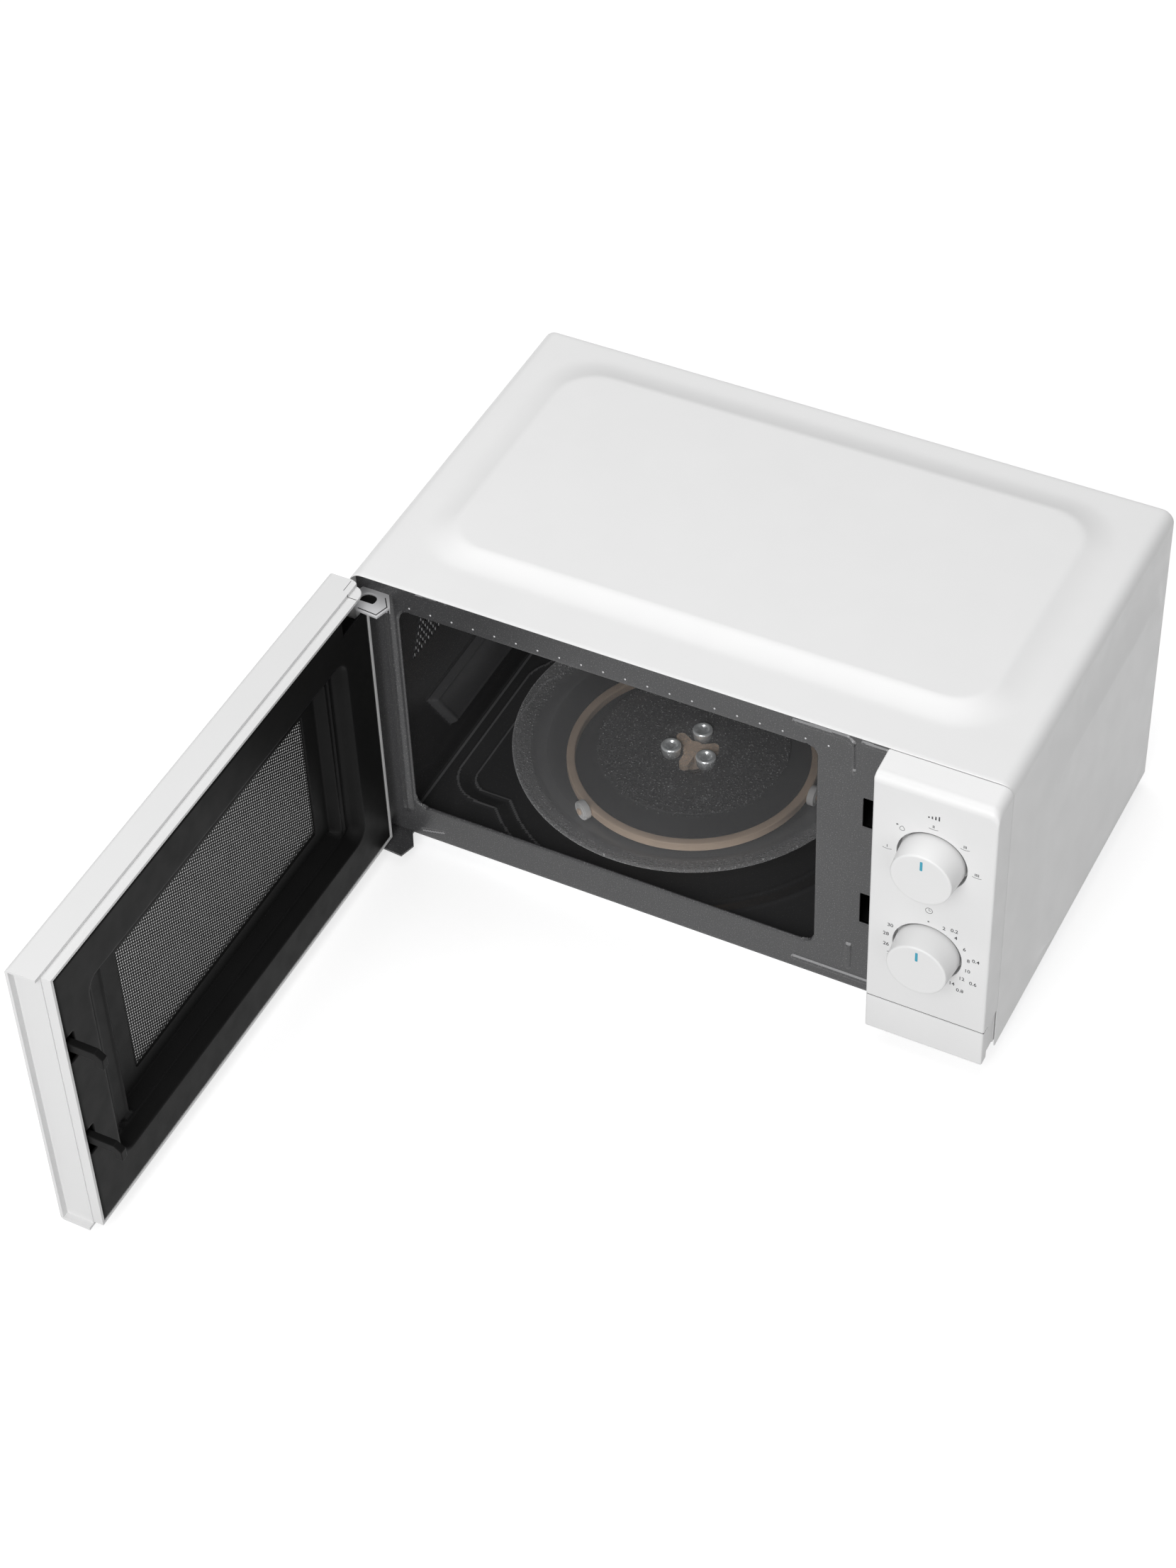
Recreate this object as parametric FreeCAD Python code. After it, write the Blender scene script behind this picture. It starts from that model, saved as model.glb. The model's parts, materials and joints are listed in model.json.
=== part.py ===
import FreeCAD, Part
import math
import os

# Free-standing microwave oven: drop-side door, two rotary controls and a push-button door release.
# Millimetres. X runs to the right seen from the front, Y to the back, Z up. The origin is the middle
# of the cabinet's footprint, on the surface that the feet stand on. The door stands open at 90 degrees.

V = FreeCAD.Vector
X_AXIS = V(1, 0, 0)
Y_AXIS = V(0, 1, 0)
Z_AXIS = V(0, 0, 1)

# ---- driving dimensions ----
WIDTH = 450.0                   # outer cover, side to side
DEPTH = 271.0                   # outer cover, front edge to rear flange
HEIGHT = 233.0                  # outer cover, lower edge to flat top band
FOOT = 13.0                     # height of the feet
SHEET = 0.8                     # painted and galvanised sheet
THIN = 0.6                      # enamelled cavity sheet
SKIN = 2.2                      # moulded plastic wall
RUN = 0.05                      # radial running clearance of pins and shafts

FRONT = -DEPTH / 2              # y of the cover's front edge
REAR = DEPTH / 2
BASE = FOOT - 1.0               # z of the cover's lower edge
TOP = BASE + HEIGHT             # z of the cover's flat top band
SIDE = WIDTH / 2                # x of the cover's flat side band
CROWN = 4.5                     # how far the top panel is pressed up
BULGE = 3.5                     # how far each side panel is pressed out

PLATE_Y = FRONT + 6.65          # front face of the recessed front plate
CAV_X0, CAV_X1 = -199.8, 100.2  # inside of the cavity
CAV_Y0, CAV_Y1 = PLATE_Y + SHEET, FRONT + 256.0
CAV_Z0, CAV_Z1 = BASE + 17.0, BASE + 209.0
OPEN_X0, OPEN_X1 = -195.2, 95.6  # opening in the front plate
OPEN_Z0, OPEN_Z1 = BASE + 29.4, BASE + 205.4
OPEN_R = 8.0

TRAY_X, TRAY_Y = -49.6, FRONT + 131.5
TRAY_R = 122.5
WHEEL_R, WHEEL_W = 6.9, 5.6
WHEEL_TRACK = 89.2              # radius at which the wheels run
WHEEL_Z = CAV_Z0 + 0.15 + WHEEL_R
TRAY_Z = WHEEL_Z + WHEEL_R + 0.25
TRAY_RIM_Z = BASE + 41.1
RING_R0, RING_R1 = 81.6, 85.8

PANEL_X0 = 145.0                # control panel
PANEL_Y = FRONT - 22.6          # front face, flush with the closed door
PANEL_Z0 = BASE + 4.2
PANEL_TOP = BASE + 224.8        # where the front face turns into the top slope
BUTTON_TOP = PANEL_Z0 + 30.0
KNOB_X = 184.4
KNOB_Z = {"power": BASE + 173.8, "timer": BASE + 93.1}
KNOB_R, KNOB_BASE_R, KNOB_LEN = 20.0, 21.4, 17.4
POCKET_R, POCKET_DEPTH = 22.9, 2.2
SHAFT_R = 3.0

HINGE_X, HINGE_Y = -221.5, FRONT - 7.2
DOOR_X0, DOOR_X1 = -225.0, 143.6
DOOR_Z0, DOOR_Z1 = BASE + 0.5, BASE + 231.0
DOOR_REAR = FRONT + 5.1         # inner face of the closed door
DOOR_STEP = FRONT - 1.5         # where the shell steps in to the rear rim
DOOR_END = 139.1                # recessed end wall under the grip lip
PIN_R = 1.9
HINGE_Z = BASE + 217.2          # top of the upper hinge arm
SCREEN_Y = FRONT - 12.0         # perforated screen in the closed door
SCREEN = (-158.0, 61.0, BASE + 61.0, BASE + 166.0)

HOOK_X0, HOOK_X1 = 130.0, 135.0
HOOK_TOPS = (BASE + 170.5, BASE + 86.0)
SLOTS = ((BASE + 151.0, BASE + 176.0), (BASE + 64.0, BASE + 91.0))
SLOT_X0, SLOT_X1 = 127.0, 141.0

FAN_X, FAN_Z = 172.0, BASE + 172.0
MAG_Y, MAG_Z = FRONT + 165.0, BASE + 170.0
SCREW_R = 1.9
REAR_SCREWS = ((-SIDE + 8, BASE + 48), (SIDE - 8, BASE + 48), (-150, TOP - 7), (150, TOP - 7))


# ---- small helpers ----
def box(x0, x1, y0, y1, z0, z1):
    return Part.makeBox(x1 - x0, y1 - y0, z1 - z0, V(x0, y0, z0))


def rod(radius, start, end):
    """A round bar from one point to another."""
    return Part.makeCylinder(radius, (end - start).Length, start, end - start)


def cone(r0, r1, start, end):
    return Part.makeCone(r0, r1, (end - start).Length, start, end - start)


def prism(points, direction):
    """A straight-sided solid from a closed outline."""
    return Part.Face(Part.makePolygon(points + [points[0]])).extrude(direction)


def round_along(shape, radius, axis, keep=lambda middle: True):
    """Round the straight edges that run along an axis."""
    edges = []
    for edge in shape.Edges:
        if edge.Curve.TypeId != "Part::GeomLine":
            continue
        along = (edge.Vertexes[1].Point - edge.Vertexes[0].Point).normalize()
        if abs(along.dot(axis)) > 0.999 and keep(edge.CenterOfMass):
            edges.append(edge)
    return shape.makeFillet(radius, edges)


def rounded_box(x0, x1, y0, y1, z0, z1, radius, axis):
    return round_along(box(x0, x1, y0, y1, z0, z1), radius, axis)


def rounded_wire(u0, u1, v0, v1, radius, place):
    """A rectangle with round corners; place() turns (u, v) into a point."""
    edges = []
    corners = ((u1, v0, -90), (u1, v1, 0), (u0, v1, 90), (u0, v0, 180))
    previous_end = None
    first_start = None
    for u, v, begin in corners:
        cu = u - math.copysign(radius, u - (u0 + u1) / 2)
        cv = v - math.copysign(radius, v - (v0 + v1) / 2)
        arc = []
        for turn in (0, 45, 90):
            angle = math.radians(begin + turn)
            arc.append(place(cu + radius * math.cos(angle), cv + radius * math.sin(angle)))
        if previous_end is not None:
            edges.append(Part.LineSegment(previous_end, arc[0]).toShape())
        else:
            first_start = arc[0]
        edges.append(Part.Arc(*arc).toShape())
        previous_end = arc[2]
    edges.append(Part.LineSegment(previous_end, first_start).toShape())
    return Part.Wire(edges)


def pressed_panel(outer, inner, place, height, sink):
    """A shallow tapered plateau: outer and inner are (u0, u1, v0, v1, radius)."""
    low = rounded_wire(*outer, lambda u, v: place(u, v, -sink))
    foot = rounded_wire(*outer, lambda u, v: place(u, v, 0.0))
    high = rounded_wire(*inner, lambda u, v: place(u, v, height))
    plinth = Part.makeLoft([low, foot], True, True)
    return plinth.fuse(Part.makeLoft([foot, high], True, True))


def revolve(profile, centre, axis=Z_AXIS):
    """Turn a closed outline about an axis through centre."""
    return Part.Face(Part.makePolygon(profile + [profile[0]])).revolve(centre, axis, 360)


def union(shapes):
    result = shapes[0]
    for shape in shapes[1:]:
        result = result.fuse(shape)
    return result.removeSplitter()


def coil(radius, wire_radius, pitch, length, start, axis):
    """A compression spring whose axis starts at one end."""
    helix = Part.makeHelix(pitch, length - 2 * wire_radius, radius)
    section = Part.Wire(Part.makeCircle(wire_radius, V(radius, 0, 0), Y_AXIS))
    spring = Part.Wire(helix.Edges).makePipeShell([section], True, True)
    spring.translate(V(0, 0, wire_radius))
    spring.Placement = FreeCAD.Placement(start, FreeCAD.Rotation(Z_AXIS, axis)) * spring.Placement
    return spring


def save(name, shape):
    if shape.Volume <= 0 or not shape.isValid():
        print("check the solid:", name)
    shape.exportStep("parts/%s.step" % name)


def save_door(name, shape):
    """Door pieces are drawn shut and saved open at 90 degrees."""
    opened = shape.copy()
    opened.rotate(V(HINGE_X, HINGE_Y, 0), Z_AXIS, -90)
    save(name, opened)


# ---- cabinet sheet metal ----
def cover_body(grow):
    """The cover's outer form, shrunk by grow on every face."""
    side = SIDE - grow
    body = box(-side, side, FRONT - grow, REAR + grow, BASE - grow, TOP - grow)
    body = round_along(body, 9.0 - grow, Y_AXIS, lambda middle: middle.z > BASE + 10)
    crown = pressed_panel(
        (-204.0, 204.0, FRONT + 30, FRONT + 256, 40.0),
        (-185.0, 185.0, FRONT + 49, FRONT + 237, 28.0),
        lambda u, v, h: V(u, v, TOP - grow + h), CROWN, 2.0)
    panels = [crown]
    for sign in (-1, 1):
        panels.append(pressed_panel(
            (FRONT + 41, FRONT + 263, BASE + 8, BASE + 206, 34.0),
            (FRONT + 76, FRONT + 256, BASE + 15, BASE + 170, 26.0),
            lambda u, v, h, s=sign: V(s * (SIDE - grow + h), u, v), BULGE, 2.0))
    for panel in panels:
        body = body.fuse(panel)
    return body


def outer_cover():
    inner = cover_body(SHEET)
    cover = cover_body(0.0).cut(inner)
    cover = cover.cut(box(-SIDE + 14, SIDE - 14, REAR - 5, REAR + 5, BASE - 5, TOP - 12))
    flange = box(-SIDE + SHEET, SIDE - SHEET, REAR - SHEET, REAR, BASE, TOP - SHEET)
    flange = round_along(flange, 9.0 - SHEET, Y_AXIS, lambda middle: middle.z > BASE + 10)
    flange = flange.cut(box(-SIDE + 13, SIDE - 13, REAR - 5, REAR + 5, BASE - 5, TOP - 13))
    cover = cover.fuse(flange)
    for x, z in REAR_SCREWS:
        cover = cover.cut(rod(SCREW_R + 0.2, V(x, REAR - 5, z), V(x, REAR + 5, z)))
    return cover.removeSplitter()


def base_plate():
    floor_z = FOOT + SHEET
    plate = box(-SIDE + 1.2, SIDE - 1.2, PLATE_Y + SHEET, REAR - 2 * SHEET - 0.2, FOOT, floor_z)
    for sign in (-1, 1):
        x = sign * (SIDE - 1.2)
        inner = x - sign * SHEET
        plate = plate.fuse(box(min(x, inner), max(x, inner), PLATE_Y + SHEET,
                               REAR - 2 * SHEET - 0.2, FOOT, FOOT + 11))
    for row in range(2):
        for column in range(7):
            x = 122 + 12 * column
            y = FRONT + 44 + 42 * row
            plate = plate.cut(rounded_box(x, x + 4, y, y + 32, FOOT - 1, floor_z + 1, 1.9, Z_AXIS))
    return plate


def rear_plate():
    y0 = REAR - 2 * SHEET
    plate = box(-SIDE + 1.2, SIDE - 1.2, y0, y0 + SHEET, FOOT + SHEET, TOP - SHEET - 0.4)
    plate = round_along(plate, 7.5, Y_AXIS, lambda middle: middle.z > BASE + 50)
    holes = []
    for row in range(9):
        for column in range(9):
            x = FAN_X + 9 * (column - 4)
            z = FAN_Z + 9 * (row - 4)
            if math.hypot(x - FAN_X, z - FAN_Z) < 40:
                holes.append(rod(2.6, V(x, y0 - 2, z), V(x, y0 + 4, z)))
    for row in range(6):
        z = BASE + 120 + 12 * row
        holes.append(rounded_box(-205, -150, y0 - 2, y0 + 4, z, z + 4, 1.9, Y_AXIS))
    holes.append(rod(7.0, V(192, y0 - 2, BASE + 36), V(192, y0 + 4, BASE + 36)))
    for x, z in REAR_SCREWS:
        holes.append(rod(SCREW_R + 0.2, V(x, y0 - 2, z), V(x, y0 + 4, z)))
    return plate.cut(Part.makeCompound(holes))


def front_plate():
    y0, y1 = PLATE_Y, PLATE_Y + SHEET
    plate = box(-SIDE + 1.2, SIDE - 1.2, y0, y1, BASE + 1, TOP - SHEET - 0.4)
    plate = round_along(plate, 7.5, Y_AXIS, lambda middle: middle.z > BASE + 50)
    cuts = [rounded_box(OPEN_X0, OPEN_X1, y0 - 2, y1 + 2, OPEN_Z0, OPEN_Z1, OPEN_R, Y_AXIS)]
    for z0, z1 in SLOTS:
        cuts.append(box(SLOT_X0, SLOT_X1, y0 - 2, y1 + 2, z0, z1))
    cuts.append(rounded_box(152, 217, y0 - 2, y1 + 2, BASE + 62, BASE + 200, 6.0, Y_AXIS))
    cuts.append(rounded_box(170, 198, y0 - 2, y1 + 2, BASE + 8, BASE + 30, 3.0, Y_AXIS))
    return plate.cut(Part.makeCompound(cuts))


def cavity_walls():
    x0, x1 = CAV_X0 - THIN, CAV_X1 + THIN
    y0, y1 = CAV_Y0, CAV_Y1 + THIN
    floor = box(x0, x1, y0, y1, CAV_Z0 - THIN, CAV_Z0)
    floor = floor.cut(rod(8.0, V(TRAY_X, TRAY_Y, CAV_Z0 - 5), V(TRAY_X, TRAY_Y, CAV_Z0 + 5)))
    roof = box(x0, x1, y0, y1, CAV_Z1, CAV_Z1 + THIN)
    back = box(CAV_X0, CAV_X1, CAV_Y1, y1, CAV_Z0, CAV_Z1)
    left = box(x0, CAV_X0, y0, y1, CAV_Z0, CAV_Z1)
    vents = []
    for row in range(5):
        for column in range(7):
            y = FRONT + 24 + 5.2 * column + 2.6 * (row % 2)
            z = CAV_Z1 - 34 + 4.6 * row
            vents.append(rod(1.5, V(x0 - 1, y, z), V(CAV_X0 + 1, y, z)))
    left = left.cut(Part.makeCompound(vents))
    right = box(CAV_X1, x1, y0, y1, CAV_Z0, CAV_Z1)
    guide = box(CAV_X1 - 1, x1 + 1, MAG_Y - 60, MAG_Y - 12, MAG_Z - 24, MAG_Z + 24)
    right = right.cut(guide)
    lamp_holes = []
    for row in range(5):
        for column in range(5):
            y = FRONT + 214 + 5 * column
            z = MAG_Z + 4 + 5 * row
            lamp_holes.append(rod(1.4, V(CAV_X1 - 1, y, z), V(x1 + 1, y, z)))
    right = right.cut(Part.makeCompound(lamp_holes))
    return {"cavity_floor": floor, "cavity_roof": roof, "cavity_back_wall": back,
            "cavity_left_wall": left, "cavity_right_wall": right}


# ---- turntable drive ----
def turntable_motor():
    case = rod(24.0, V(TRAY_X, TRAY_Y, FOOT + SHEET), V(TRAY_X, TRAY_Y, CAV_Z0 - THIN - 0.6))
    ears = box(TRAY_X - 31, TRAY_X + 31, TRAY_Y - 5, TRAY_Y + 5,
               CAV_Z0 - THIN - 2.0, CAV_Z0 - THIN - 0.6)
    bore = rod(SHAFT_R + RUN, V(TRAY_X, TRAY_Y, CAV_Z0 - 9), V(TRAY_X, TRAY_Y, CAV_Z0 + 5))
    return case.fuse(ears).cut(bore).removeSplitter()


def lobe(angle, reach, radius, z0, z1):
    """One arm of a three-armed hub."""
    tip_x = TRAY_X + reach * math.cos(math.radians(angle))
    tip_y = TRAY_Y + reach * math.sin(math.radians(angle))
    tip = rod(radius, V(tip_x, tip_y, z0), V(tip_x, tip_y, z1))
    web = box(TRAY_X, TRAY_X + reach, TRAY_Y - radius, TRAY_Y + radius, z0, z1)
    web.rotate(V(TRAY_X, TRAY_Y, 0), Z_AXIS, angle)
    return tip.fuse(web)


def drive_coupler():
    top = TRAY_Z - 0.05
    pieces = [rod(SHAFT_R, V(TRAY_X, TRAY_Y, CAV_Z0 - 8), V(TRAY_X, TRAY_Y, CAV_Z0 + 2)),
              rod(7.0, V(TRAY_X, TRAY_Y, CAV_Z0 + 0.6), V(TRAY_X, TRAY_Y, top))]
    for angle in (30, 150, 270):
        pieces.append(lobe(angle, 14.0, 3.6, top - 5.0, top))
    return union(pieces)


def glass_tray():
    glass = 4.0
    rise = TRAY_RIM_Z - TRAY_Z

    def at(radius, height):
        return V(TRAY_X + radius, TRAY_Y, TRAY_Z + height)

    profile = [at(0, 0), at(103, 0), at(113, 2.2), at(TRAY_R, rise - 1.5), at(TRAY_R, rise - 0.5),
               at(TRAY_R - 1.0, rise), at(TRAY_R - 3.0, rise), at(112, glass + 1.8),
               at(103, glass), at(0, glass)]
    pieces = [revolve(profile, V(TRAY_X, TRAY_Y, 0))]
    for angle in (90, 210, 330):
        x = TRAY_X + 15.0 * math.cos(math.radians(angle))
        y = TRAY_Y + 15.0 * math.sin(math.radians(angle))
        pieces.append(rod(4.6, V(x, y, TRAY_Z - 4.5), V(x, y, TRAY_Z + 0.5)))
    return union(pieces)


def wheel_frame(index):
    """Centre, and outward direction, of one turntable wheel's axle."""
    angle = math.radians(120 * index)
    outward = V(math.cos(angle), math.sin(angle), 0)
    return V(TRAY_X, TRAY_Y, WHEEL_Z), outward


def roller_ring():
    z0, z1 = WHEEL_Z - 3.4, WHEEL_Z + 3.4
    ring = rod(RING_R1, V(TRAY_X, TRAY_Y, z0), V(TRAY_X, TRAY_Y, z1))
    pieces = [ring.cut(rod(RING_R0, V(TRAY_X, TRAY_Y, z0 - 1), V(TRAY_X, TRAY_Y, z1 + 1)))]
    reach = WHEEL_TRACK + WHEEL_W / 2
    for index in range(3):
        centre, outward = wheel_frame(index)
        pieces.append(rod(1.5, centre + outward * (RING_R1 - 1.5), centre + outward * (reach + 0.8)))
        pieces.append(rod(2.4, centre + outward * (reach + 0.3), centre + outward * (reach + 1.3)))
    return union(pieces)


def roller(index):
    centre, outward = wheel_frame(index)
    start = centre + outward * (WHEEL_TRACK - WHEEL_W / 2)
    end = centre + outward * (WHEEL_TRACK + WHEEL_W / 2)
    wheel = round_rims(rod(WHEEL_R, start, end), 0.8)
    return wheel.cut(rod(1.5 + RUN, start - outward, end + outward))


def round_rims(shape, radius):
    """Round every circular edge."""
    return shape.makeFillet(radius, [e for e in shape.Edges if e.Curve.TypeId == "Part::GeomCircle"])


# ---- microwave source, power supply and cooling ----
def waveguide():
    x0, x1 = CAV_X1 + THIN, CAV_X1 + THIN + 34
    y0, y1, z0, z1 = MAG_Y - 72, MAG_Y + 26, MAG_Z - 32, MAG_Z + 32
    duct = box(x0, x1, y0, y1, z0, z1)
    duct = duct.cut(box(x0 - 1, x1 - SHEET, y0 + SHEET, y1 - SHEET, z0 + SHEET, z1 - SHEET))
    return duct.cut(rod(11, V(x1 - 5, MAG_Y, MAG_Z), V(x1 + 5, MAG_Y, MAG_Z)))


def magnetron():
    x0 = CAV_X1 + THIN + 34
    pieces = [box(x0, x0 + 1.6, MAG_Y - 42, MAG_Y + 42, MAG_Z - 36, MAG_Z + 36),
              rod(7.5, V(x0 - 20, MAG_Y, MAG_Z), V(x0 + 2, MAG_Y, MAG_Z)),
              rod(16, V(x0 + 1, MAG_Y, MAG_Z), V(x0 + 38, MAG_Y, MAG_Z)),
              box(x0 + 36.4, x0 + 38, MAG_Y - 34, MAG_Y + 34, MAG_Z - 34, MAG_Z + 34)]
    for sign in (-1, 1):
        z = MAG_Z + sign * 34
        pieces.append(box(x0 + 1, x0 + 37, MAG_Y - 34, MAG_Y + 34, min(z, z - sign * 1.4),
                          max(z, z - sign * 1.4)))
    for index in range(6):
        x = x0 + 6 + 5 * index
        pieces.append(box(x, x + 0.8, MAG_Y - 30, MAG_Y + 30, MAG_Z - 33.5, MAG_Z + 33.5))
    return union(pieces)


def magnetron_filter_box():
    x0 = CAV_X1 + THIN + 72
    case = box(x0, x0 + 22, MAG_Y - 27, MAG_Y + 27, MAG_Z - 25, MAG_Z + 25)
    case = case.cut(box(x0 + SHEET, x0 + 22 - SHEET, MAG_Y - 27 + SHEET, MAG_Y + 27 - SHEET,
                        MAG_Z - 25 + SHEET, MAG_Z + 25 - SHEET))
    terminals = []
    for z in (MAG_Z - 6, MAG_Z + 6):
        terminals.append(rod(2.2, V(x0 + 11, MAG_Y - 37, z), V(x0 + 11, MAG_Y - 26.5, z)))
    return union([case] + terminals)


TRANS_X, TRANS_Y, TRANS_Z = 164.0, FRONT + 150.0, FOOT + SHEET + 36.0


def transformer_core():
    core = box(TRANS_X - 42, TRANS_X + 42, TRANS_Y - 29, TRANS_Y + 29, TRANS_Z - 36, TRANS_Z + 36)
    for sign in (-1, 1):
        centre = TRANS_X + sign * 21
        core = core.cut(box(centre - 7, centre + 7, TRANS_Y - 40, TRANS_Y + 40,
                            TRANS_Z - 22, TRANS_Z + 22))
    return core


def transformer_windings():
    coils = []
    for z0, z1 in ((TRANS_Z - 21.5, TRANS_Z - 2), (TRANS_Z + 2, TRANS_Z + 21.5)):
        outer = rounded_box(TRANS_X - 27.5, TRANS_X + 27.5, TRANS_Y - 42, TRANS_Y + 42,
                            z0, z1, 10.0, Z_AXIS)
        coils.append(outer.cut(box(TRANS_X - 14.5, TRANS_X + 14.5, TRANS_Y - 29.5, TRANS_Y + 29.5,
                                   z0 - 1, z1 + 1)))
    return Part.makeCompound(coils)


def capacitor_parts():
    y0, y1, z0 = FRONT + 214, FRONT + 248, FOOT + SHEET + 2
    can = rounded_box(118, 200, y0, y1, z0, z0 + 50, 16.0, X_AXIS)
    terminals = [rod(3.0, V(199, (y0 + y1) / 2, z0 + h), V(206, (y0 + y1) / 2, z0 + h)) for h in (16, 34)]
    strap = rounded_box(150, 164, y0 - SHEET, y1 + SHEET, z0 - SHEET, z0 + 50 + SHEET, 16.8, X_AXIS)
    strap = strap.cut(rounded_box(149, 165, y0, y1, z0, z0 + 50, 16.0, X_AXIS))
    foot = box(150, 164, y0 - 16, y0 + 4, FOOT + SHEET, z0 - SHEET)
    strap = strap.fuse(foot.fuse(box(150, 164, y0 - 0.8, y1 - 14, FOOT + SHEET, z0 - SHEET)))
    return union([can] + terminals), strap.removeSplitter()


def hv_diode():
    y = FRONT + 206
    body = rod(3.2, V(176, y, FOOT + 12), V(192, y, FOOT + 12))
    lead = box(191, 198, y - 1, y + 1, FOOT + 11, FOOT + 13)
    tab = rod(1.2, V(184, y, FOOT + SHEET), V(184, y, FOOT + 10))
    return union([body, lead, tab])


def fan_parts():
    y0 = REAR - 2 * SHEET - 44
    x0, x1 = FAN_X - 44.8, FAN_X + 46
    shroud = box(x0, x1, y0, y0 + 2, FAN_Z - 46, FAN_Z + 46)
    shroud = shroud.fuse(rod(44, V(FAN_X, y0 + 1, FAN_Z), V(FAN_X, y0 + 26, FAN_Z)))
    shroud = shroud.cut(rod(42, V(FAN_X, y0 - 1, FAN_Z), V(FAN_X, y0 + 27, FAN_Z)))
    legs = []
    for sx in (-1, 1):
        for sz in (-1, 1):
            x, z = FAN_X + sx * 39, FAN_Z + sz * 39
            legs.append(box(x - 4, x + 4, y0 + 1, REAR - 2 * SHEET, z - 4, z + 4))
    bridge = box(x0 + 1, x1 - 1, y0 - 3, y0 + 1, FAN_Z - 6, FAN_Z + 6)
    bridge = bridge.cut(rod(4, V(FAN_X, y0 - 5, FAN_Z), V(FAN_X, y0 + 3, FAN_Z)))
    shroud = union([shroud, bridge] + legs)
    motor = box(FAN_X - 24, FAN_X + 24, y0 - 21, y0 - 3, FAN_Z - 20, FAN_Z + 22)
    motor = motor.fuse(rod(13, V(FAN_X, y0 - 25, FAN_Z), V(FAN_X, y0 - 20, FAN_Z)))
    motor = motor.cut(rod(2.0 + RUN, V(FAN_X, y0 - 18, FAN_Z), V(FAN_X, y0, FAN_Z)))
    blades = [rod(11, V(FAN_X, y0 + 6, FAN_Z), V(FAN_X, y0 + 22, FAN_Z))]
    for index in range(5):
        blade = box(FAN_X + 8, FAN_X + 39, y0 + 13.2, y0 + 14.8, FAN_Z - 11, FAN_Z + 11)
        blade.rotate(V(FAN_X, y0 + 14, FAN_Z), X_AXIS, 32)
        blade.rotate(V(FAN_X, y0 + 14, FAN_Z), Y_AXIS, 72 * index)
        blades.append(blade)
    blades.append(rod(2.0, V(FAN_X, y0 - 17, FAN_Z), V(FAN_X, y0 + 8, FAN_Z)))
    return shroud, motor.removeSplitter(), union(blades)


def air_guide():
    x0, x1 = CAV_X1 + THIN + 36, CAV_X1 + THIN + 94
    roof = box(x0, x1, MAG_Y - 46, MAG_Y + 44, MAG_Z + 37, MAG_Z + 38.6)
    return union([roof, box(x0, x1, MAG_Y - 46, MAG_Y - 44.4, MAG_Z - 20, MAG_Z + 38.6)])


def lamp_parts():
    x0 = CAV_X1 + THIN
    y, z = FRONT + 224, MAG_Z + 14
    holder = box(x0, x0 + 26, y - 14, y + 14, z - 14, z + 14)
    holder = holder.cut(box(x0 - 1, x0 + 18, y - 12.5, y + 12.5, z - 12.5, z + 12.5))
    bulb = rod(6.0, V(x0 + 5, y, z), V(x0 + 14, y, z))
    neck = rod(4.0, V(x0 + 13, y, z), V(x0 + 18, y, z))
    return holder, union([bulb, neck])


def filter_board():
    z0 = TOP - 17
    pieces = [box(106, 126, FRONT + 200, REAR - 2 * SHEET - 1, z0, z0 + 1.6),
              rod(5.5, V(116, FRONT + 228, z0 + 1.5), V(116, FRONT + 228, z0 + 12)),
              box(109, 123, FRONT + 238, FRONT + 256, z0 + 1.5, z0 + 11)]
    clips = [box(112, 120, y, y + 4, z0 + 1.5, z0 + 8) for y in (FRONT + 203, FRONT + 217)]
    fuse = rod(2.6, V(116, FRONT + 207.0, z0 + 5), V(116, FRONT + 217.0, z0 + 5))
    return union(pieces + clips), fuse


def thermal_cutouts():
    on_magnetron = V(CAV_X1 + THIN + 50, MAG_Y - 34, MAG_Z)
    on_cavity = V(-60.0, FRONT + 200, CAV_Z1 + THIN)
    first = rod(8.0, on_magnetron, on_magnetron - Y_AXIS * 8)
    second = rod(8.0, on_cavity, on_cavity + Z_AXIS * 8)
    return Part.makeCompound([first, second])


def cord_bushing():
    y0 = REAR - 2 * SHEET
    x, z = 192.0, BASE + 36
    flange = rod(10.0, V(x, y0 + SHEET, z), V(x, y0 + SHEET + 3.0, z))
    sleeve = rod(6.9, V(x, y0 - 6, z), V(x, y0 + SHEET + 1, z))
    bore = rod(3.6, V(x, y0 - 10, z), V(x, y0 + 10, z))
    return flange.fuse(sleeve).cut(bore).removeSplitter()


# ---- door interlock and controls ----
LEVER_Y, LEVER_Z = FRONT + 12.5, BASE + 46.0
RAIL_Z0, RAIL_Z1 = LEVER_Z - 12, LEVER_Z - 8
STEM_DROP = 22.0                # height of the lever's pivot above the button's nose


def interlock_bracket():
    y0, y1 = PLATE_Y + SHEET, FRONT + 54.0
    pieces = [box(106, 109, y0, y1, RAIL_Z0, BASE + 184),
              box(106, 143, y1 - 3, y1, BASE + 56, BASE + 184)]
    for slot_low, slot_high in SLOTS:
        pieces.append(box(106, 143, y0 + 4, y1, slot_low - 6, slot_low - 3))
        pieces.append(box(106, 143, y0 + 4, y1, slot_high + 4, slot_high + 7))
    pieces.append(box(106, 204, FRONT + 19, FRONT + 22, RAIL_Z0, RAIL_Z1))
    for x in (118.0, 200.0):
        ear = box(x, x + 3.6, y0, FRONT + 22, RAIL_Z0, LEVER_Z + 5)
        pieces.append(ear.cut(rod(2.5 + RUN, V(x - 1, LEVER_Y, LEVER_Z), V(x + 5, LEVER_Y, LEVER_Z))))
    return union(pieces)


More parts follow.
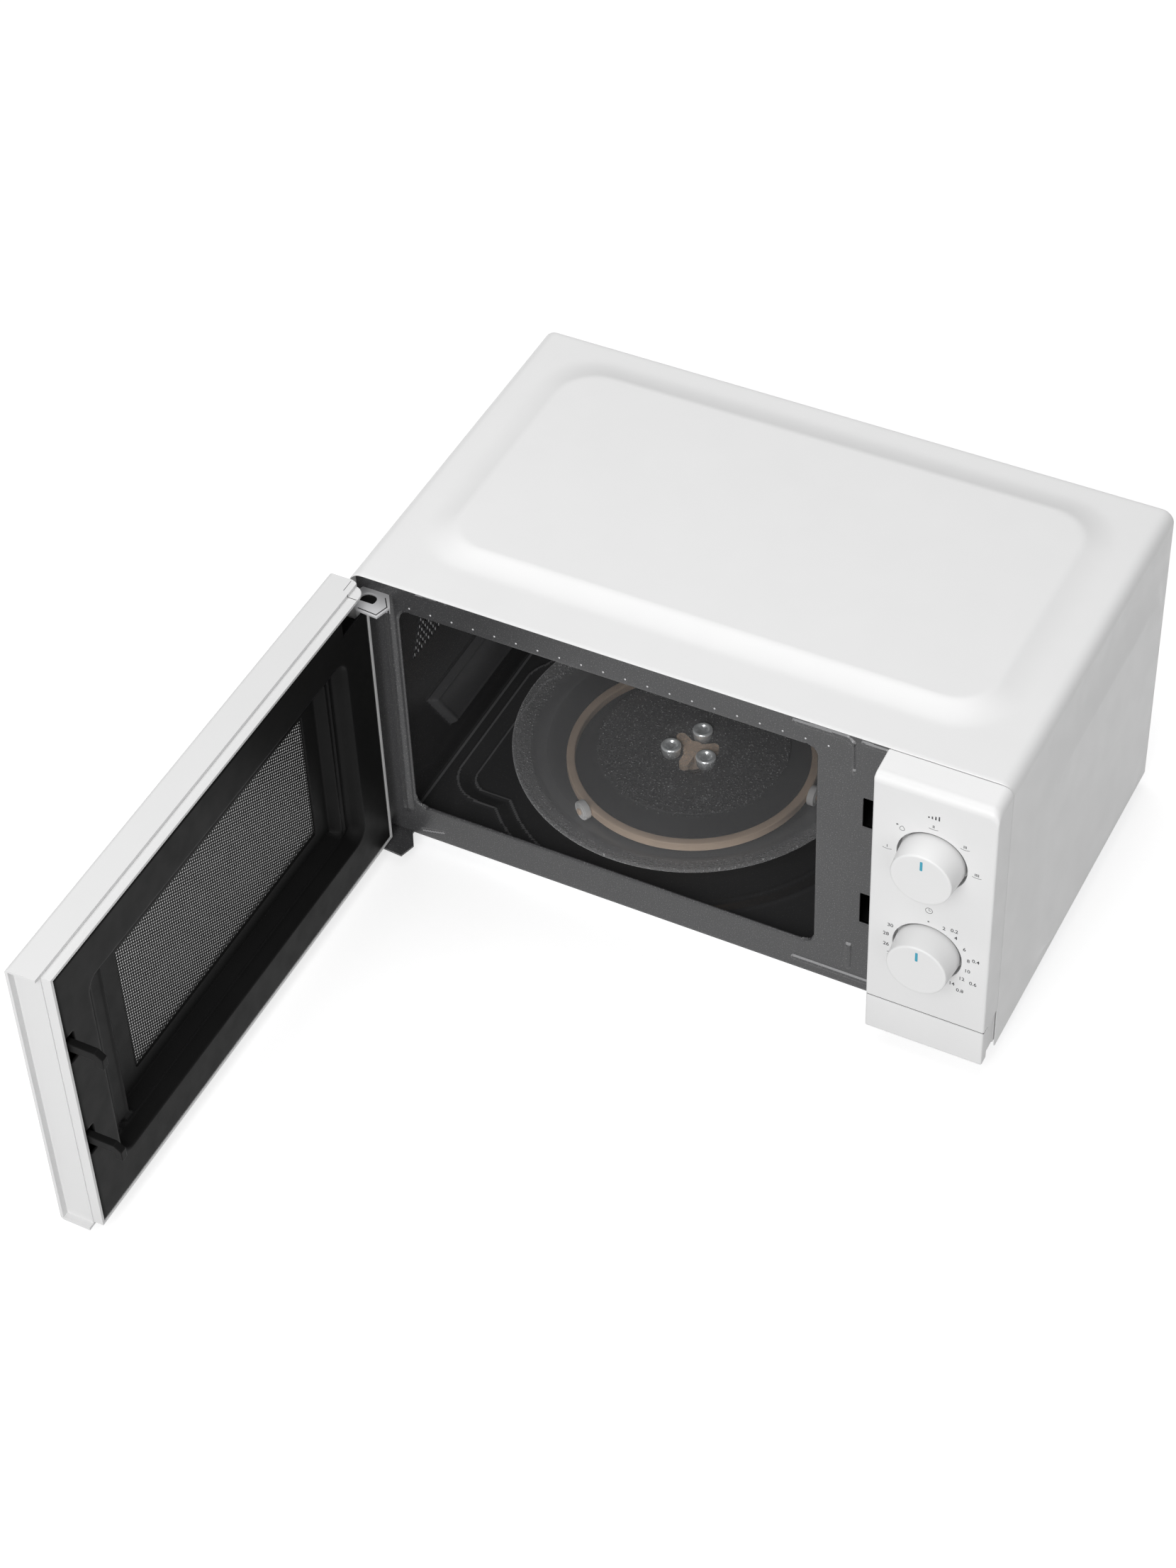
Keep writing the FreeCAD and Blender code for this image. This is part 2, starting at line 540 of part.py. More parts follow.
def release_lever():
    pivot = rod(2.5, V(118.4, LEVER_Y, LEVER_Z), V(203.2, LEVER_Y, LEVER_Z))
    paddle = box(172, 196, LEVER_Y - 2.2, LEVER_Y + 2.2, LEVER_Z - 27, LEVER_Z)
    hub = rod(4.2, V(124, LEVER_Y, LEVER_Z), V(198, LEVER_Y, LEVER_Z))
    arm = box(129, 136, LEVER_Y, LEVER_Y + 14, LEVER_Z - 2, LEVER_Z + 2)
    finger = box(129, 136, LEVER_Y + 10, LEVER_Y + 14, LEVER_Z - 2, LEVER_Z + 9)
    return union([pivot, paddle, hub, arm, finger])


def interlock_switches():
    bodies = []
    for z in (BASE + 150, BASE + 114, BASE + 66):
        body = box(109, 119.4, FRONT + 30, FRONT + 46, z, z + 27)
        plunger = rod(1.6, V(119, FRONT + 34, z + 20), V(121.4, FRONT + 34, z + 20))
        tabs = box(112, 116, FRONT + 45.5, FRONT + 50, z + 6, z + 7)
        bodies.append(union([body, plunger, tabs]))
    return Part.makeCompound(bodies)


def panel_section(grow):
    """Side outline of the panel: flat front, round shoulder, slope up to the cover."""
    front = PANEL_Y + grow
    shoulder = PANEL_TOP
    low, high = PANEL_Z0, TOP - 0.5 - grow
    drop = 1.6
    bend = V(0, front + 2.0, shoulder + 3.6 - grow * 0.6)
    crest = V(0, front + 7.0, high - drop)
    a = V(0, front, low)
    b = V(0, front, shoulder - grow * 0.6)
    c = V(0, FRONT - 0.3, high)
    d = V(0, FRONT - 0.3, low)
    edges = [Part.LineSegment(a, b).toShape(), Part.Arc(b, bend, crest).toShape(),
             Part.LineSegment(crest, c).toShape(), Part.LineSegment(c, d).toShape(),
             Part.LineSegment(d, a).toShape()]
    return Part.Face(Part.Wire(edges))


def control_panel():
    x0, x1 = PANEL_X0, SIDE
    shell = panel_section(0.0)
    shell.translate(V(x0, 0, 0))
    shell = shell.extrude(V(x1 - x0, 0, 0))
    corner = box(x0 - 1, x1, PANEL_Y - 1, FRONT, PANEL_Z0 - 1, TOP - 0.5)
    shell = shell.common(round_along(corner, 6.5, Y_AXIS,
                                     lambda middle: middle.z > BASE + 200 and middle.x > 200))
    hollow = panel_section(SKIN)
    hollow.translate(V(x0 + SKIN, 0, 0))
    hollow = hollow.extrude(V(x1 - x0 - 2 * SKIN, 0, 0))
    rim = box(x0 + 0.8, x1 - 1.4, FRONT - 0.3, PLATE_Y, PANEL_Z0, TOP - 2.2)
    rim = round_along(rim, 6.5, Y_AXIS, lambda middle: middle.z > BASE + 200 and middle.x > 200)
    rim = rim.cut(box(x0 + 3.0, x1 - 3.6, FRONT - 3, PLATE_Y + 1, PANEL_Z0 + SKIN, TOP - 9.5))
    panel = shell.cut(hollow).cut(box(x0 + SKIN, x1 - SKIN, PANEL_Y + SKIN, FRONT, PANEL_Z0 + SKIN,
                                      PANEL_TOP - 2))
    panel = panel.fuse(rim)
    button_bay = box(x0 - 1, x1 + 1, PANEL_Y - 1, PANEL_Y + 7.8, PANEL_Z0 - 1, BUTTON_TOP + 0.4)
    panel = panel.cut(button_bay)
    shelf = box(x0 + 1, x1 - 1, PANEL_Y + 1, FRONT - 0.3, BUTTON_TOP + 0.4, BUTTON_TOP + 0.4 + SKIN)
    sill = box(x0 + 1, x1 - 1, PANEL_Y + 7.8, FRONT - 0.3, PANEL_Z0, PANEL_Z0 + SKIN)
    panel = union([panel, shelf, sill])
    for z in KNOB_Z.values():
        boss = rod(POCKET_R + 2.0, V(KNOB_X, PANEL_Y + 1, z), V(KNOB_X, PANEL_Y + POCKET_DEPTH + 2.0, z))
        panel = panel.fuse(boss)
    for z in KNOB_Z.values():
        panel = panel.cut(rod(POCKET_R, V(KNOB_X, PANEL_Y - 1, z), V(KNOB_X, PANEL_Y + POCKET_DEPTH, z)))
        panel = panel.cut(rod(4.4, V(KNOB_X, PANEL_Y - 1, z), V(KNOB_X, PANEL_Y + 9, z)))
    return panel.removeSplitter()


def door_release_button():
    x0, x1 = PANEL_X0 + 0.2, SIDE - 0.2
    face = box(x0, x1, PANEL_Y, PANEL_Y + 4.5, PANEL_Z0, BUTTON_TOP)
    face = round_along(face, 1.6, X_AXIS, lambda middle: middle.y < PANEL_Y + 1 and middle.z < BASE + 10)
    skirt = box(x0 + 4, x1 - 4, PANEL_Y + 4, PANEL_Y + 11, PANEL_Z0 + 3.4, BUTTON_TOP - 1.2)
    skirt = skirt.cut(box(x0 + 6, x1 - 6, PANEL_Y + 3, PANEL_Y + 12, PANEL_Z0 + 5.4, BUTTON_TOP - 3.2))
    stem = box(178, 190, PANEL_Y + 4, LEVER_Y - 6, LEVER_Z - 26, LEVER_Z - 18)
    nose = box(178, 190, LEVER_Y - 7, LEVER_Y - 2.5, LEVER_Z - STEM_DROP - 1, LEVER_Z - STEM_DROP + 1)
    return union([face, skirt, stem, nose])


def rotary_control(kind, width, height, depth):
    """Switch or timer body behind the panel, with a bore for its shaft."""
    z = KNOB_Z[kind]
    y0 = FRONT - 12
    body = box(KNOB_X - width / 2, KNOB_X + width / 2, y0, y0 + depth, z - height / 2, z + height / 2)
    nose = rod(9.0, V(KNOB_X, PANEL_Y + POCKET_DEPTH + 2.0, z), V(KNOB_X, y0 + 1, z))
    body = body.fuse(nose)
    return body.cut(rod(SHAFT_R + RUN, V(KNOB_X, PANEL_Y, z), V(KNOB_X, y0 + 12, z))).removeSplitter()


def control_shaft(kind):
    z = KNOB_Z[kind]
    return rod(SHAFT_R, V(KNOB_X, PANEL_Y - KNOB_LEN + 5, z), V(KNOB_X, FRONT - 0.5, z))


def control_knob(kind):
    z = KNOB_Z[kind]
    front, back = PANEL_Y - KNOB_LEN, PANEL_Y + POCKET_DEPTH - 0.6

    def at(radius, y):
        return V(KNOB_X + radius, y, z)

    cap = [at(0, front), at(KNOB_R - 1.2, front), at(KNOB_R, front + 1.2), at(KNOB_BASE_R, back),
           at(KNOB_BASE_R - 2, back), at(KNOB_R - 2.2, front + 3), at(0, front + 3)]
    pieces = [revolve(cap, V(KNOB_X, 0, z), Y_AXIS),
              rod(6.0, V(KNOB_X, front + 2.5, z), V(KNOB_X, back, z))]
    for angle in (0, 120, 240):
        rib = box(KNOB_X + 5, KNOB_X + KNOB_R - 1.5, front + 2.5, back - 5, z - 0.8, z + 0.8)
        rib.rotate(V(KNOB_X, 0, z), Y_AXIS, angle)
        pieces.append(rib)
    knob = union(pieces)
    return knob.cut(rod(SHAFT_R, V(KNOB_X, front + 5, z), V(KNOB_X, back + 5, z)))


def timer_bell():
    z = KNOB_Z["timer"] + 24
    y0 = FRONT + 29.0
    dome = rod(17.0, V(KNOB_X, y0, z), V(KNOB_X, y0 + 9, z))
    dome = dome.cut(rod(15.8, V(KNOB_X, y0 - 1, z), V(KNOB_X, y0 + 7.8, z)))
    return dome.fuse(rod(2.0, V(KNOB_X, y0, z), V(KNOB_X, y0 + 8, z))).removeSplitter()


# ---- hinges, feet and fasteners ----
def hinge_arm(z0, z1, back):
    """Flat arm that carries the door's pin: round eye, clipped front corner."""
    eye = rod(3.4, V(HINGE_X, HINGE_Y, z0), V(HINGE_X, HINGE_Y, z1))
    outline = [V(HINGE_X - 1.2, HINGE_Y + 3.1, z0), V(-219.5, PLATE_Y, z0), V(-219.5, back, z0),
               V(-200.3, back, z0), V(-200.3, PLATE_Y, z0), V(-194.0, FRONT - 3.6, z0),
               V(-197.3, FRONT - 15.1, z0), V(-212.0, FRONT - 14.0, z0),
               V(HINGE_X + 1.0, HINGE_Y - 3.2, z0)]
    arm = prism(outline, V(0, 0, z1 - z0)).fuse(eye)
    bore = rod(PIN_R + RUN, V(HINGE_X, HINGE_Y, z0 - 1), V(HINGE_X, HINGE_Y, z1 + 1))
    return arm.cut(bore)


def upper_hinge():
    z0, z1 = HINGE_Z - 1.6, HINGE_Z
    arm = hinge_arm(z0, z1, PLATE_Y)
    half_moon = rod(5.6, V(-210.5, FRONT - 2.4, z0 - 1), V(-210.5, FRONT - 2.4, z1 + 1))
    half_moon = half_moon.cut(box(-220, -200, FRONT - 12, FRONT - 5.4, z0 - 2, z1 + 2))
    tab = box(-219.5, -200.3, PLATE_Y - 1.2, PLATE_Y, z0 - 14, z1)
    return union([arm.cut(half_moon), tab])


def lower_hinge():
    z0, z1 = BASE - 1.7, BASE - 0.1
    arm = hinge_arm(z0, z1, PLATE_Y + 2.4)
    flange = box(-219.5, -200.3, PLATE_Y + 0.8, FRONT + 30, FOOT - 1.6, FOOT)
    return union([arm, flange])


def door_hinge_pins():
    upper = rod(PIN_R, V(HINGE_X, HINGE_Y, HINGE_Z - 8.0), V(HINGE_X, HINGE_Y, HINGE_Z + 6.0))
    lower = rod(PIN_R, V(HINGE_X, HINGE_Y, BASE - 1.6), V(HINGE_X, HINGE_Y, DOOR_Z0 + 0.1))
    cap = rod(4.2, V(HINGE_X, HINGE_Y, DOOR_Z0 + SKIN), V(HINGE_X, HINGE_Y, DOOR_Z0 + SKIN + 2))
    lower = lower.fuse(rod(PIN_R, V(HINGE_X, HINGE_Y, DOOR_Z0), V(HINGE_X, HINGE_Y, DOOR_Z0 + SKIN + 1)))
    return Part.makeCompound([upper, lower.fuse(cap).removeSplitter()])


def feet():
    pads = []
    for x in (-172, 188):
        for y in (FRONT + 34, REAR - 34):
            pad = cone(9.5, 11.0, V(x, y, 0), V(x, y, FOOT))
            pads.append(pad.makeFillet(1.2, [e for e in pad.Edges if abs(e.CenterOfMass.z) < 0.01]))
    return Part.makeCompound(pads)


def cover_screws():
    screws = []
    for x, z in REAR_SCREWS:
        head = rod(3.8, V(x, REAR, z), V(x, REAR + 2.2, z))
        head = head.makeFillet(1.0, [e for e in head.Edges if abs(e.CenterOfMass.y - REAR - 2.2) < 0.01])
        screws.append(head.fuse(rod(SCREW_R, V(x, REAR - 9, z), V(x, REAR + 0.5, z))).removeSplitter())
    return Part.makeCompound(screws)


# ---- door, drawn shut ----
def hinge_room():
    """Space that the upper hinge arm sweeps inside the door."""
    return box(DOOR_X0 - 2, HINGE_X + 29.5, FRONT - 17.4, DOOR_REAR + 2, HINGE_Z - 3.4, HINGE_Z + 1.8)


def door_shell():
    shell = box(DOOR_X0, DOOR_X1, PANEL_Y, DOOR_STEP, DOOR_Z0, DOOR_Z1)
    shell = round_along(shell, 3.0, X_AXIS, lambda middle: middle.y < PANEL_Y + 1)
    shell = shell.cut(box(DOOR_X0 + SKIN, DOOR_END - SKIN, PANEL_Y + SKIN, DOOR_STEP + 1,
                          DOOR_Z0 + SKIN, DOOR_Z1 - SKIN))
    shell = shell.cut(box(DOOR_END, DOOR_X1 + 1, PANEL_Y + SKIN, DOOR_STEP + 1,
                          DOOR_Z0 + SKIN, DOOR_Z1 - SKIN))
    rim_x0, rim_x1, rim_z0, rim_z1 = DOOR_X0 + 1.4, DOOR_END - 0.8, DOOR_Z0 + 2.4, DOOR_Z1 - 2.4
    rim = box(rim_x0, rim_x1, DOOR_STEP - 2, DOOR_REAR, rim_z0, rim_z1)
    rim = rim.cut(box(rim_x0 + 2, rim_x1 - 2, DOOR_STEP - 3, DOOR_REAR + 1, rim_z0 + 2, rim_z1 - 2))
    window = rounded_box(SCREEN[0] - 14, SCREEN[1] + 14, PANEL_Y - 1, PANEL_Y + 4,
                         SCREEN[2] - 14, SCREEN[3] + 14, 6.0, Y_AXIS)
    shell = shell.fuse(rim).cut(window).cut(hinge_room())
    arch = rod(7.0, V(-219, FRONT - 1.0, HINGE_Z), V(-219, FRONT - 1.0, DOOR_Z1 + 2))
    arch = arch.fuse(box(-226, -212, FRONT - 1.0, DOOR_REAR + 1, HINGE_Z, DOOR_Z1 + 2))
    shell = shell.cut(arch.cut(box(-240, -190, FRONT - 40, FRONT - 6.0, HINGE_Z - 2, DOOR_Z1 + 4)))
    for z0, z1 in ((HINGE_Z - 14.0, HINGE_Z - 4.2), (HINGE_Z + 2.6, DOOR_Z1 - SKIN)):
        shell = shell.fuse(box(DOOR_X0 + 1, HINGE_X + 5, PANEL_Y + 1, HINGE_Y + 4, z0, z1))
    return shell.cut(door_hinge_pins()).removeSplitter()


def door_window():
    return box(SCREEN[0] - 20, SCREEN[1] + 20, PANEL_Y + SKIN, PANEL_Y + SKIN + 2,
               SCREEN[2] - 20, SCREEN[3] + 20)


METAL = (-214.0, 122.0, BASE + 15.0, BASE + 209.0)


def door_metal_panel():
    x0, x1, z0, z1 = METAL
    plate = box(x0, x1, SCREEN_Y - THIN / 2, SCREEN_Y + THIN / 2, z0, z1)
    choke = box(x0, x1, SCREEN_Y, FRONT + 2.5, z0, z1)
    choke = choke.cut(box(x0 + THIN, x1 - THIN, SCREEN_Y - 1, FRONT + 4, z0 + THIN, z1 - THIN))
    return union([plate, choke])


def door_inner_cover():
    border = (DOOR_X0 + 3.6, DOOR_END - 3.0, DOOR_Z0 + 4.6, DOOR_Z1 - 4.6)
    mouth = (-192.0, 108.0, BASE + 34.0, BASE + 196.0)
    ledge = (-176.0, 84.0, BASE + 46.0, BASE + 184.0)
    face_y, ledge_y = DOOR_REAR - 2.0, FRONT - 4.0

    def layer(rect, y0, y1, grow=0.0):
        return box(rect[0] - grow, rect[1] + grow, y0, y1, rect[2] - grow, rect[3] + grow)

    cover = layer(border, face_y, DOOR_REAR)
    cover = cover.fuse(layer(mouth, ledge_y - 2, face_y + 1, 2.0))
    cover = cover.fuse(layer(ledge, SCREEN_Y + THIN / 2, ledge_y, 2.0))
    cover = cover.cut(round_along(layer(mouth, ledge_y, DOOR_REAR + 1), 12.0, Y_AXIS))
    cover = cover.cut(layer(ledge, SCREEN_Y + THIN / 2 + 1.6, ledge_y + 1))
    cover = cover.cut(layer(SCREEN, SCREEN_Y - 2, DOOR_REAR))
    for top in HOOK_TOPS:
        cover = cover.cut(box(HOOK_X0 - 1.5, HOOK_X1 + 0.6, face_y - 1, DOOR_REAR + 1, top - 17, top + 5))
    return cover.cut(hinge_room()).removeSplitter()


SLIDE_Y0, SLIDE_Y1 = FRONT - 10.0, FRONT - 3.0


def door_latch():
    pieces = [box(HOOK_X0 - 4, HOOK_X1, SLIDE_Y0, SLIDE_Y1, HOOK_TOPS[1] - 20, HOOK_TOPS[0] + 6)]
    for top in HOOK_TOPS:
        bar_end = FRONT + 28.0
        points = [V(HOOK_X0, SLIDE_Y1 - 1, top), V(HOOK_X0, bar_end - 5, top),
                  V(HOOK_X0, bar_end, top - 4), V(HOOK_X0, bar_end, top - 12),
                  V(HOOK_X0, bar_end - 6, top - 12), V(HOOK_X0, bar_end - 6, top - 7),
                  V(HOOK_X0, SLIDE_Y1 - 1, top - 7)]
        pieces.append(prism(points, V(HOOK_X1 - HOOK_X0, 0, 0)))
    return union(pieces)


LATCH_SPRING_Z0 = BASE + 36.0


def springs():
    latch = coil(2.6, 0.5, 2.6, HOOK_TOPS[1] - 20 - LATCH_SPRING_Z0,
                 V((HOOK_X0 + HOOK_X1) / 2 - 1, (SLIDE_Y0 + SLIDE_Y1) / 2, LATCH_SPRING_Z0), Z_AXIS)
    button = coil(4.0, 0.5, 3.0, PLATE_Y - (PANEL_Y + 4.5),
                  V(160.0, PANEL_Y + 4.5, (PANEL_Z0 + BUTTON_TOP) / 2), Y_AXIS)
    return latch, button


def latch_guide():
    """Door-side bracket that the latch slides against and its spring stands on."""
    x1 = DOOR_END - SKIN - 1.0
    y0 = PANEL_Y + SKIN
    seat_z = LATCH_SPRING_Z0 - 3
    pieces = [box(HOOK_X0 - 4, x1, y0, SLIDE_Y1, seat_z, LATCH_SPRING_Z0),
              box(HOOK_X0 - 6, x1, y0, y0 + 2, seat_z, BASE + 196)]
    for z in (BASE + 52, BASE + 120, BASE + 186):
        pieces.append(box(HOOK_X0 - 6, x1, y0, SLIDE_Y0 - 0.3, z, z + 10))
    return union(pieces)


# ---- write every piece ----
save("outer_cover", outer_cover())
save("base_plate", base_plate())
save("rear_plate", rear_plate())
save("front_plate", front_plate())
for wall_name, wall in cavity_walls().items():
    save(wall_name, wall)

save("turntable_motor", turntable_motor())
save("drive_coupler", drive_coupler())
save("glass_tray", glass_tray())
save("roller_ring", roller_ring())
for number in range(3):
    save("roller_%d" % (number + 1), roller(number))

save("waveguide_cover", box(CAV_X1 - 1.4, CAV_X1 - 0.6, MAG_Y - 66, MAG_Y - 6, MAG_Z - 30, MAG_Z + 30))
save("waveguide", waveguide())
save("magnetron", magnetron())
save("magnetron_filter_box", magnetron_filter_box())
save("transformer_core", transformer_core())
save("transformer_windings", transformer_windings())
capacitor, capacitor_bracket = capacitor_parts()
save("hv_capacitor", capacitor)
save("capacitor_bracket", capacitor_bracket)
save("hv_diode", hv_diode())
fan_shroud, fan_motor, fan_blade = fan_parts()
save("fan_shroud", fan_shroud)
save("fan_motor", fan_motor)
save("fan_blade", fan_blade)
save("air_guide", air_guide())
lamp_holder, cavity_lamp = lamp_parts()
save("lamp_holder", lamp_holder)
save("cavity_lamp", cavity_lamp)
noise_filter_board, mains_fuse = filter_board()
save("noise_filter_board", noise_filter_board)
save("mains_fuse", mains_fuse)
save("thermal_cutouts", thermal_cutouts())
save("cord_bushing", cord_bushing())

save("interlock_bracket", interlock_bracket())
save("interlock_switches", interlock_switches())
save("release_lever", release_lever())
save("control_panel", control_panel())
save("door_release_button", door_release_button())
save("power_selector", rotary_control("power", 38.0, 40.0, 34.0))
save("timer_unit", rotary_control("timer", 52.0, 52.0, 40.0))
save("timer_bell", timer_bell())
for control in KNOB_Z:
    save("%s_shaft" % control, control_shaft(control))
    save("%s_knob" % control, control_knob(control))

save("upper_hinge", upper_hinge())
save("lower_hinge", lower_hinge())
save("feet", feet())
save("cover_screws", cover_screws())

save_door("door_shell", door_shell())
save_door("door_window", door_window())
save_door("door_metal_panel", door_metal_panel())
save_door("door_inner_cover", door_inner_cover())
save_door("door_hinge_pins", door_hinge_pins())
save_door("door_latch", door_latch())
save_door("latch_guide", latch_guide())
latch_spring, button_spring = springs()
save_door("latch_spring", latch_spring)
save("button_spring", button_spring)
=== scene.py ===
"""Visual model of the microwave oven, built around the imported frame.

Lengths are millimetres until a mesh is made. A form is a pair: points, and faces as tuples of their numbers.
"""
import json
from contextlib import contextmanager
from math import atan2, cos, exp, hypot, inf, pi, radians, sin, sqrt

import bmesh
import bpy
from mathutils import Matrix, Vector, noise

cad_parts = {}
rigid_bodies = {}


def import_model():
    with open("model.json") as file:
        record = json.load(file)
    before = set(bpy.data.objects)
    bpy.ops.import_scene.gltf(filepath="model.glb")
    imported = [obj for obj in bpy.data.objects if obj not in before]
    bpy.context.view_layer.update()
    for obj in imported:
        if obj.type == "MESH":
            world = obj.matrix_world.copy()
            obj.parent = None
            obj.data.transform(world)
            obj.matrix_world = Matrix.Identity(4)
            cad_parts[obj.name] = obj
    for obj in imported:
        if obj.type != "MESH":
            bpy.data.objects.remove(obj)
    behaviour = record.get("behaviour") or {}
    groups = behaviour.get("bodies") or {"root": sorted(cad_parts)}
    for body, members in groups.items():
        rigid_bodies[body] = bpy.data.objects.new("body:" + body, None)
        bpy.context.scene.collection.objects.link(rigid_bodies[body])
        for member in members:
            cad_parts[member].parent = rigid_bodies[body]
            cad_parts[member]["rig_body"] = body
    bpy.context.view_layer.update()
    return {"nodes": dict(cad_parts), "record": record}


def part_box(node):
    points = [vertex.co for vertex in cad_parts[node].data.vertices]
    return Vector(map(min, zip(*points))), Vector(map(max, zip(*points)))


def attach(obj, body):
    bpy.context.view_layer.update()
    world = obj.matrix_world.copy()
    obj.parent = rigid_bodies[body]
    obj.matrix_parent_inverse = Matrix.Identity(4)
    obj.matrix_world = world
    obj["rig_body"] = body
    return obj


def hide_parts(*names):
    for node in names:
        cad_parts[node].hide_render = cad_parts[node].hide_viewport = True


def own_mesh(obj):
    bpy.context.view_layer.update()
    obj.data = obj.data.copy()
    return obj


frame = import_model()
MM = 0.001
SLOT_OF = {part["node"]: part["material_slot"] for part in frame["record"]["subparts"]}


def box_mm(node):
    low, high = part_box(node)
    return low / MM, high / MM


def middle_mm(node):
    return tuple((a + b) / 2 for a, b in zip(*box_mm(node)))


# ---- driving places, from the frame ----
cover_low, cover_high = box_mm("outer_cover")
CROWN, BULGE = 4.5, 3.5
SIDE = cover_high.x - BULGE
TOP = cover_high.z - CROWN
BASE, FRONT, REAR = cover_low.z, cover_low.y, cover_high.y
SHEET = 0.8

plate_low, plate_high = box_mm("front_plate")
PLATE_Y = plate_low.y
left_low, left_high = box_mm("cavity_left_wall")
CAV_X0, CAV_X1 = left_high.x, box_mm("cavity_right_wall")[0].x
CAV_Y0, CAV_Y1 = left_low.y, box_mm("cavity_back_wall")[0].y
CAV_Z0, CAV_Z1 = box_mm("cavity_floor")[1].z, box_mm("cavity_roof")[0].z
OPENING = (CAV_X0 + 4.6, CAV_X1 - 4.6, CAV_Z0 + 12.4, CAV_Z1 - 3.6, 8.0)

tray_low, tray_high = box_mm("glass_tray")
TRAY_X, TRAY_Y = middle_mm("glass_tray")[:2]
TRAY_R = (tray_high.x - tray_low.x) / 2
TRAY_Z = tray_low.z + 4.5

panel_low, panel_high = box_mm("control_panel")
button_low, button_high = box_mm("door_release_button")
PANEL_Y = button_low.y
knob_low, knob_high = box_mm("power_knob")
KNOBS = {kind: middle_mm(kind + "_knob")[::2] for kind in ("power", "timer")}
HINGE_X, HINGE_Y = middle_mm("door_hinge_pins")[:2]
HINGE_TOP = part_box("upper_hinge")[1].z / MM
DOOR_REAR = FRONT + 5.1


def opened(x, y, z):
    """A point of the closed door, at the place where it stands with the door open at 90 degrees."""
    return (HINGE_X + (y - HINGE_Y), HINGE_Y - (x - HINGE_X), z)


def closed_box(node):
    """A door node's box, turned back to the closed door."""
    low, high = box_mm(node)
    x0, x1 = HINGE_X + HINGE_Y - high.y, HINGE_X + HINGE_Y - low.y
    y0, y1 = HINGE_Y + low.x - HINGE_X, HINGE_Y + high.x - HINGE_X
    return (x0, x1, y0, y1, low.z, high.z)


# ---- materials ----
FINISH = {}
DRIFT = 40.0    # size of the slow colour changes
TRACK = [radius * MM for radius in (65.5, 66.5, 106.0, 110.0)]


class Nodes:
    """Builds one node material, which FINISH lists by its name."""

    def __init__(self, name):
        FINISH[name] = bpy.data.materials.new(name)
        FINISH[name].use_nodes = True
        self.tree = FINISH[name].node_tree
        self.shader = self.tree.nodes["Principled BSDF"]
        self.place = self.add("TexCoord", {}).outputs["Object"]

    def add(self, kind, inputs, **settings):
        node = self.tree.nodes.new("ShaderNode" + kind)
        for key, value in settings.items():
            setattr(node, key, value)
        return self.feed(node, inputs)

    def feed(self, node, inputs):
        """Link the inputs that are given a socket, and set the others."""
        for key, value in inputs.items():
            if isinstance(value, bpy.types.NodeSocket):
                self.tree.links.new(value, node.inputs[key])
            else:
                node.inputs[key].default_value = value
        return node

    def surface(self, inputs):
        self.feed(self.shader, inputs)

    def noise(self, size, detail=2.0, stretch=(1, 1, 1)):
        """Noise whose grains are about size millimetres."""
        mapping = self.add("Mapping", {"Vector": self.place, "Scale": stretch})
        return self.add("TexNoise", {"Vector": mapping.outputs["Vector"], "Scale": 1.0 / (size * MM),
                                     "Detail": detail}).outputs["Fac"]

    def spread(self, source, low, high, start=0.3, end=0.7):
        """Maps a value from start...end to low...high."""
        return self.add("MapRange", {"Value": source, "From Min": start, "From Max": end,
                                     "To Min": low, "To Max": high}).outputs["Result"]

    def combine(self, operation, first, second):
        return self.add("Math", {0: first, 1: second}, operation=operation).outputs[0]

    def blend(self, factor, first, second):
        """Mixes two colours; the first may be a socket."""
        if isinstance(first, tuple):
            first = (*first, 1.0)
        return self.add("Mix", {"Factor": factor, 6: first, 7: (*second, 1.0)}, data_type="RGBA").outputs[2]

    def facing(self, blend):
        return self.add("LayerWeight", {"Blend": blend}).outputs["Facing"]

    def bump(self, height, distance):
        node = self.add("Bump", {"Height": height, "Distance": distance * MM})
        self.surface({"Normal": node.outputs["Normal"]})


def grey(level, blue=0.0):
    return (level, level, level + blue)


def shade(colour, factor):
    return tuple(min(1.0, channel * factor) for channel in colour)


def finish(name, colour, rough, grain=0.6, relief=0.01, vary=0.03, metal=0.0, gloss=0.5):
    """A moulded, painted or metal surface: slow colour drift, uneven sheen and fine grain."""
    made = Nodes(name)
    drift = made.spread(made.noise(DRIFT, 3.0), 0, 1)
    made.surface({"Base Color": made.blend(drift, shade(colour, 1 - vary), shade(colour, 1 + vary)),
                  "Roughness": made.spread(made.noise(DRIFT * 0.4, 4.0), rough * 0.88, rough * 1.12),
                  "Metallic": metal, "Specular IOR Level": gloss})
    made.bump(made.noise(grain, 3.0), relief)
    return made


def speckled(name, colour, light, rough, grain, share):
    """Dark coat with fine pale specks."""
    made = finish(name, colour, rough, grain=grain * 1.3, relief=0.02, vary=0.06)
    specks = made.spread(made.noise(grain, 1.0), 0, 1, 1 - share - 0.08, 1 - share + 0.08)
    drift = made.spread(made.noise(DRIFT * 1.5, 2.0), 0, 1)
    ground = made.blend(drift, shade(colour, 0.93), shade(colour, 1.07))
    made.surface({"Base Color": made.blend(specks, ground, light)})


def brushed(name, colour, rough, direction):
    """Rolled metal with fine lines along one axis."""
    made = finish(name, colour, rough, metal=1.0, vary=0.05)
    stretch = tuple(0.04 if axis == direction else 1.0 for axis in "xyz")
    made.bump(made.noise(0.5, 2.0, stretch), 0.006)


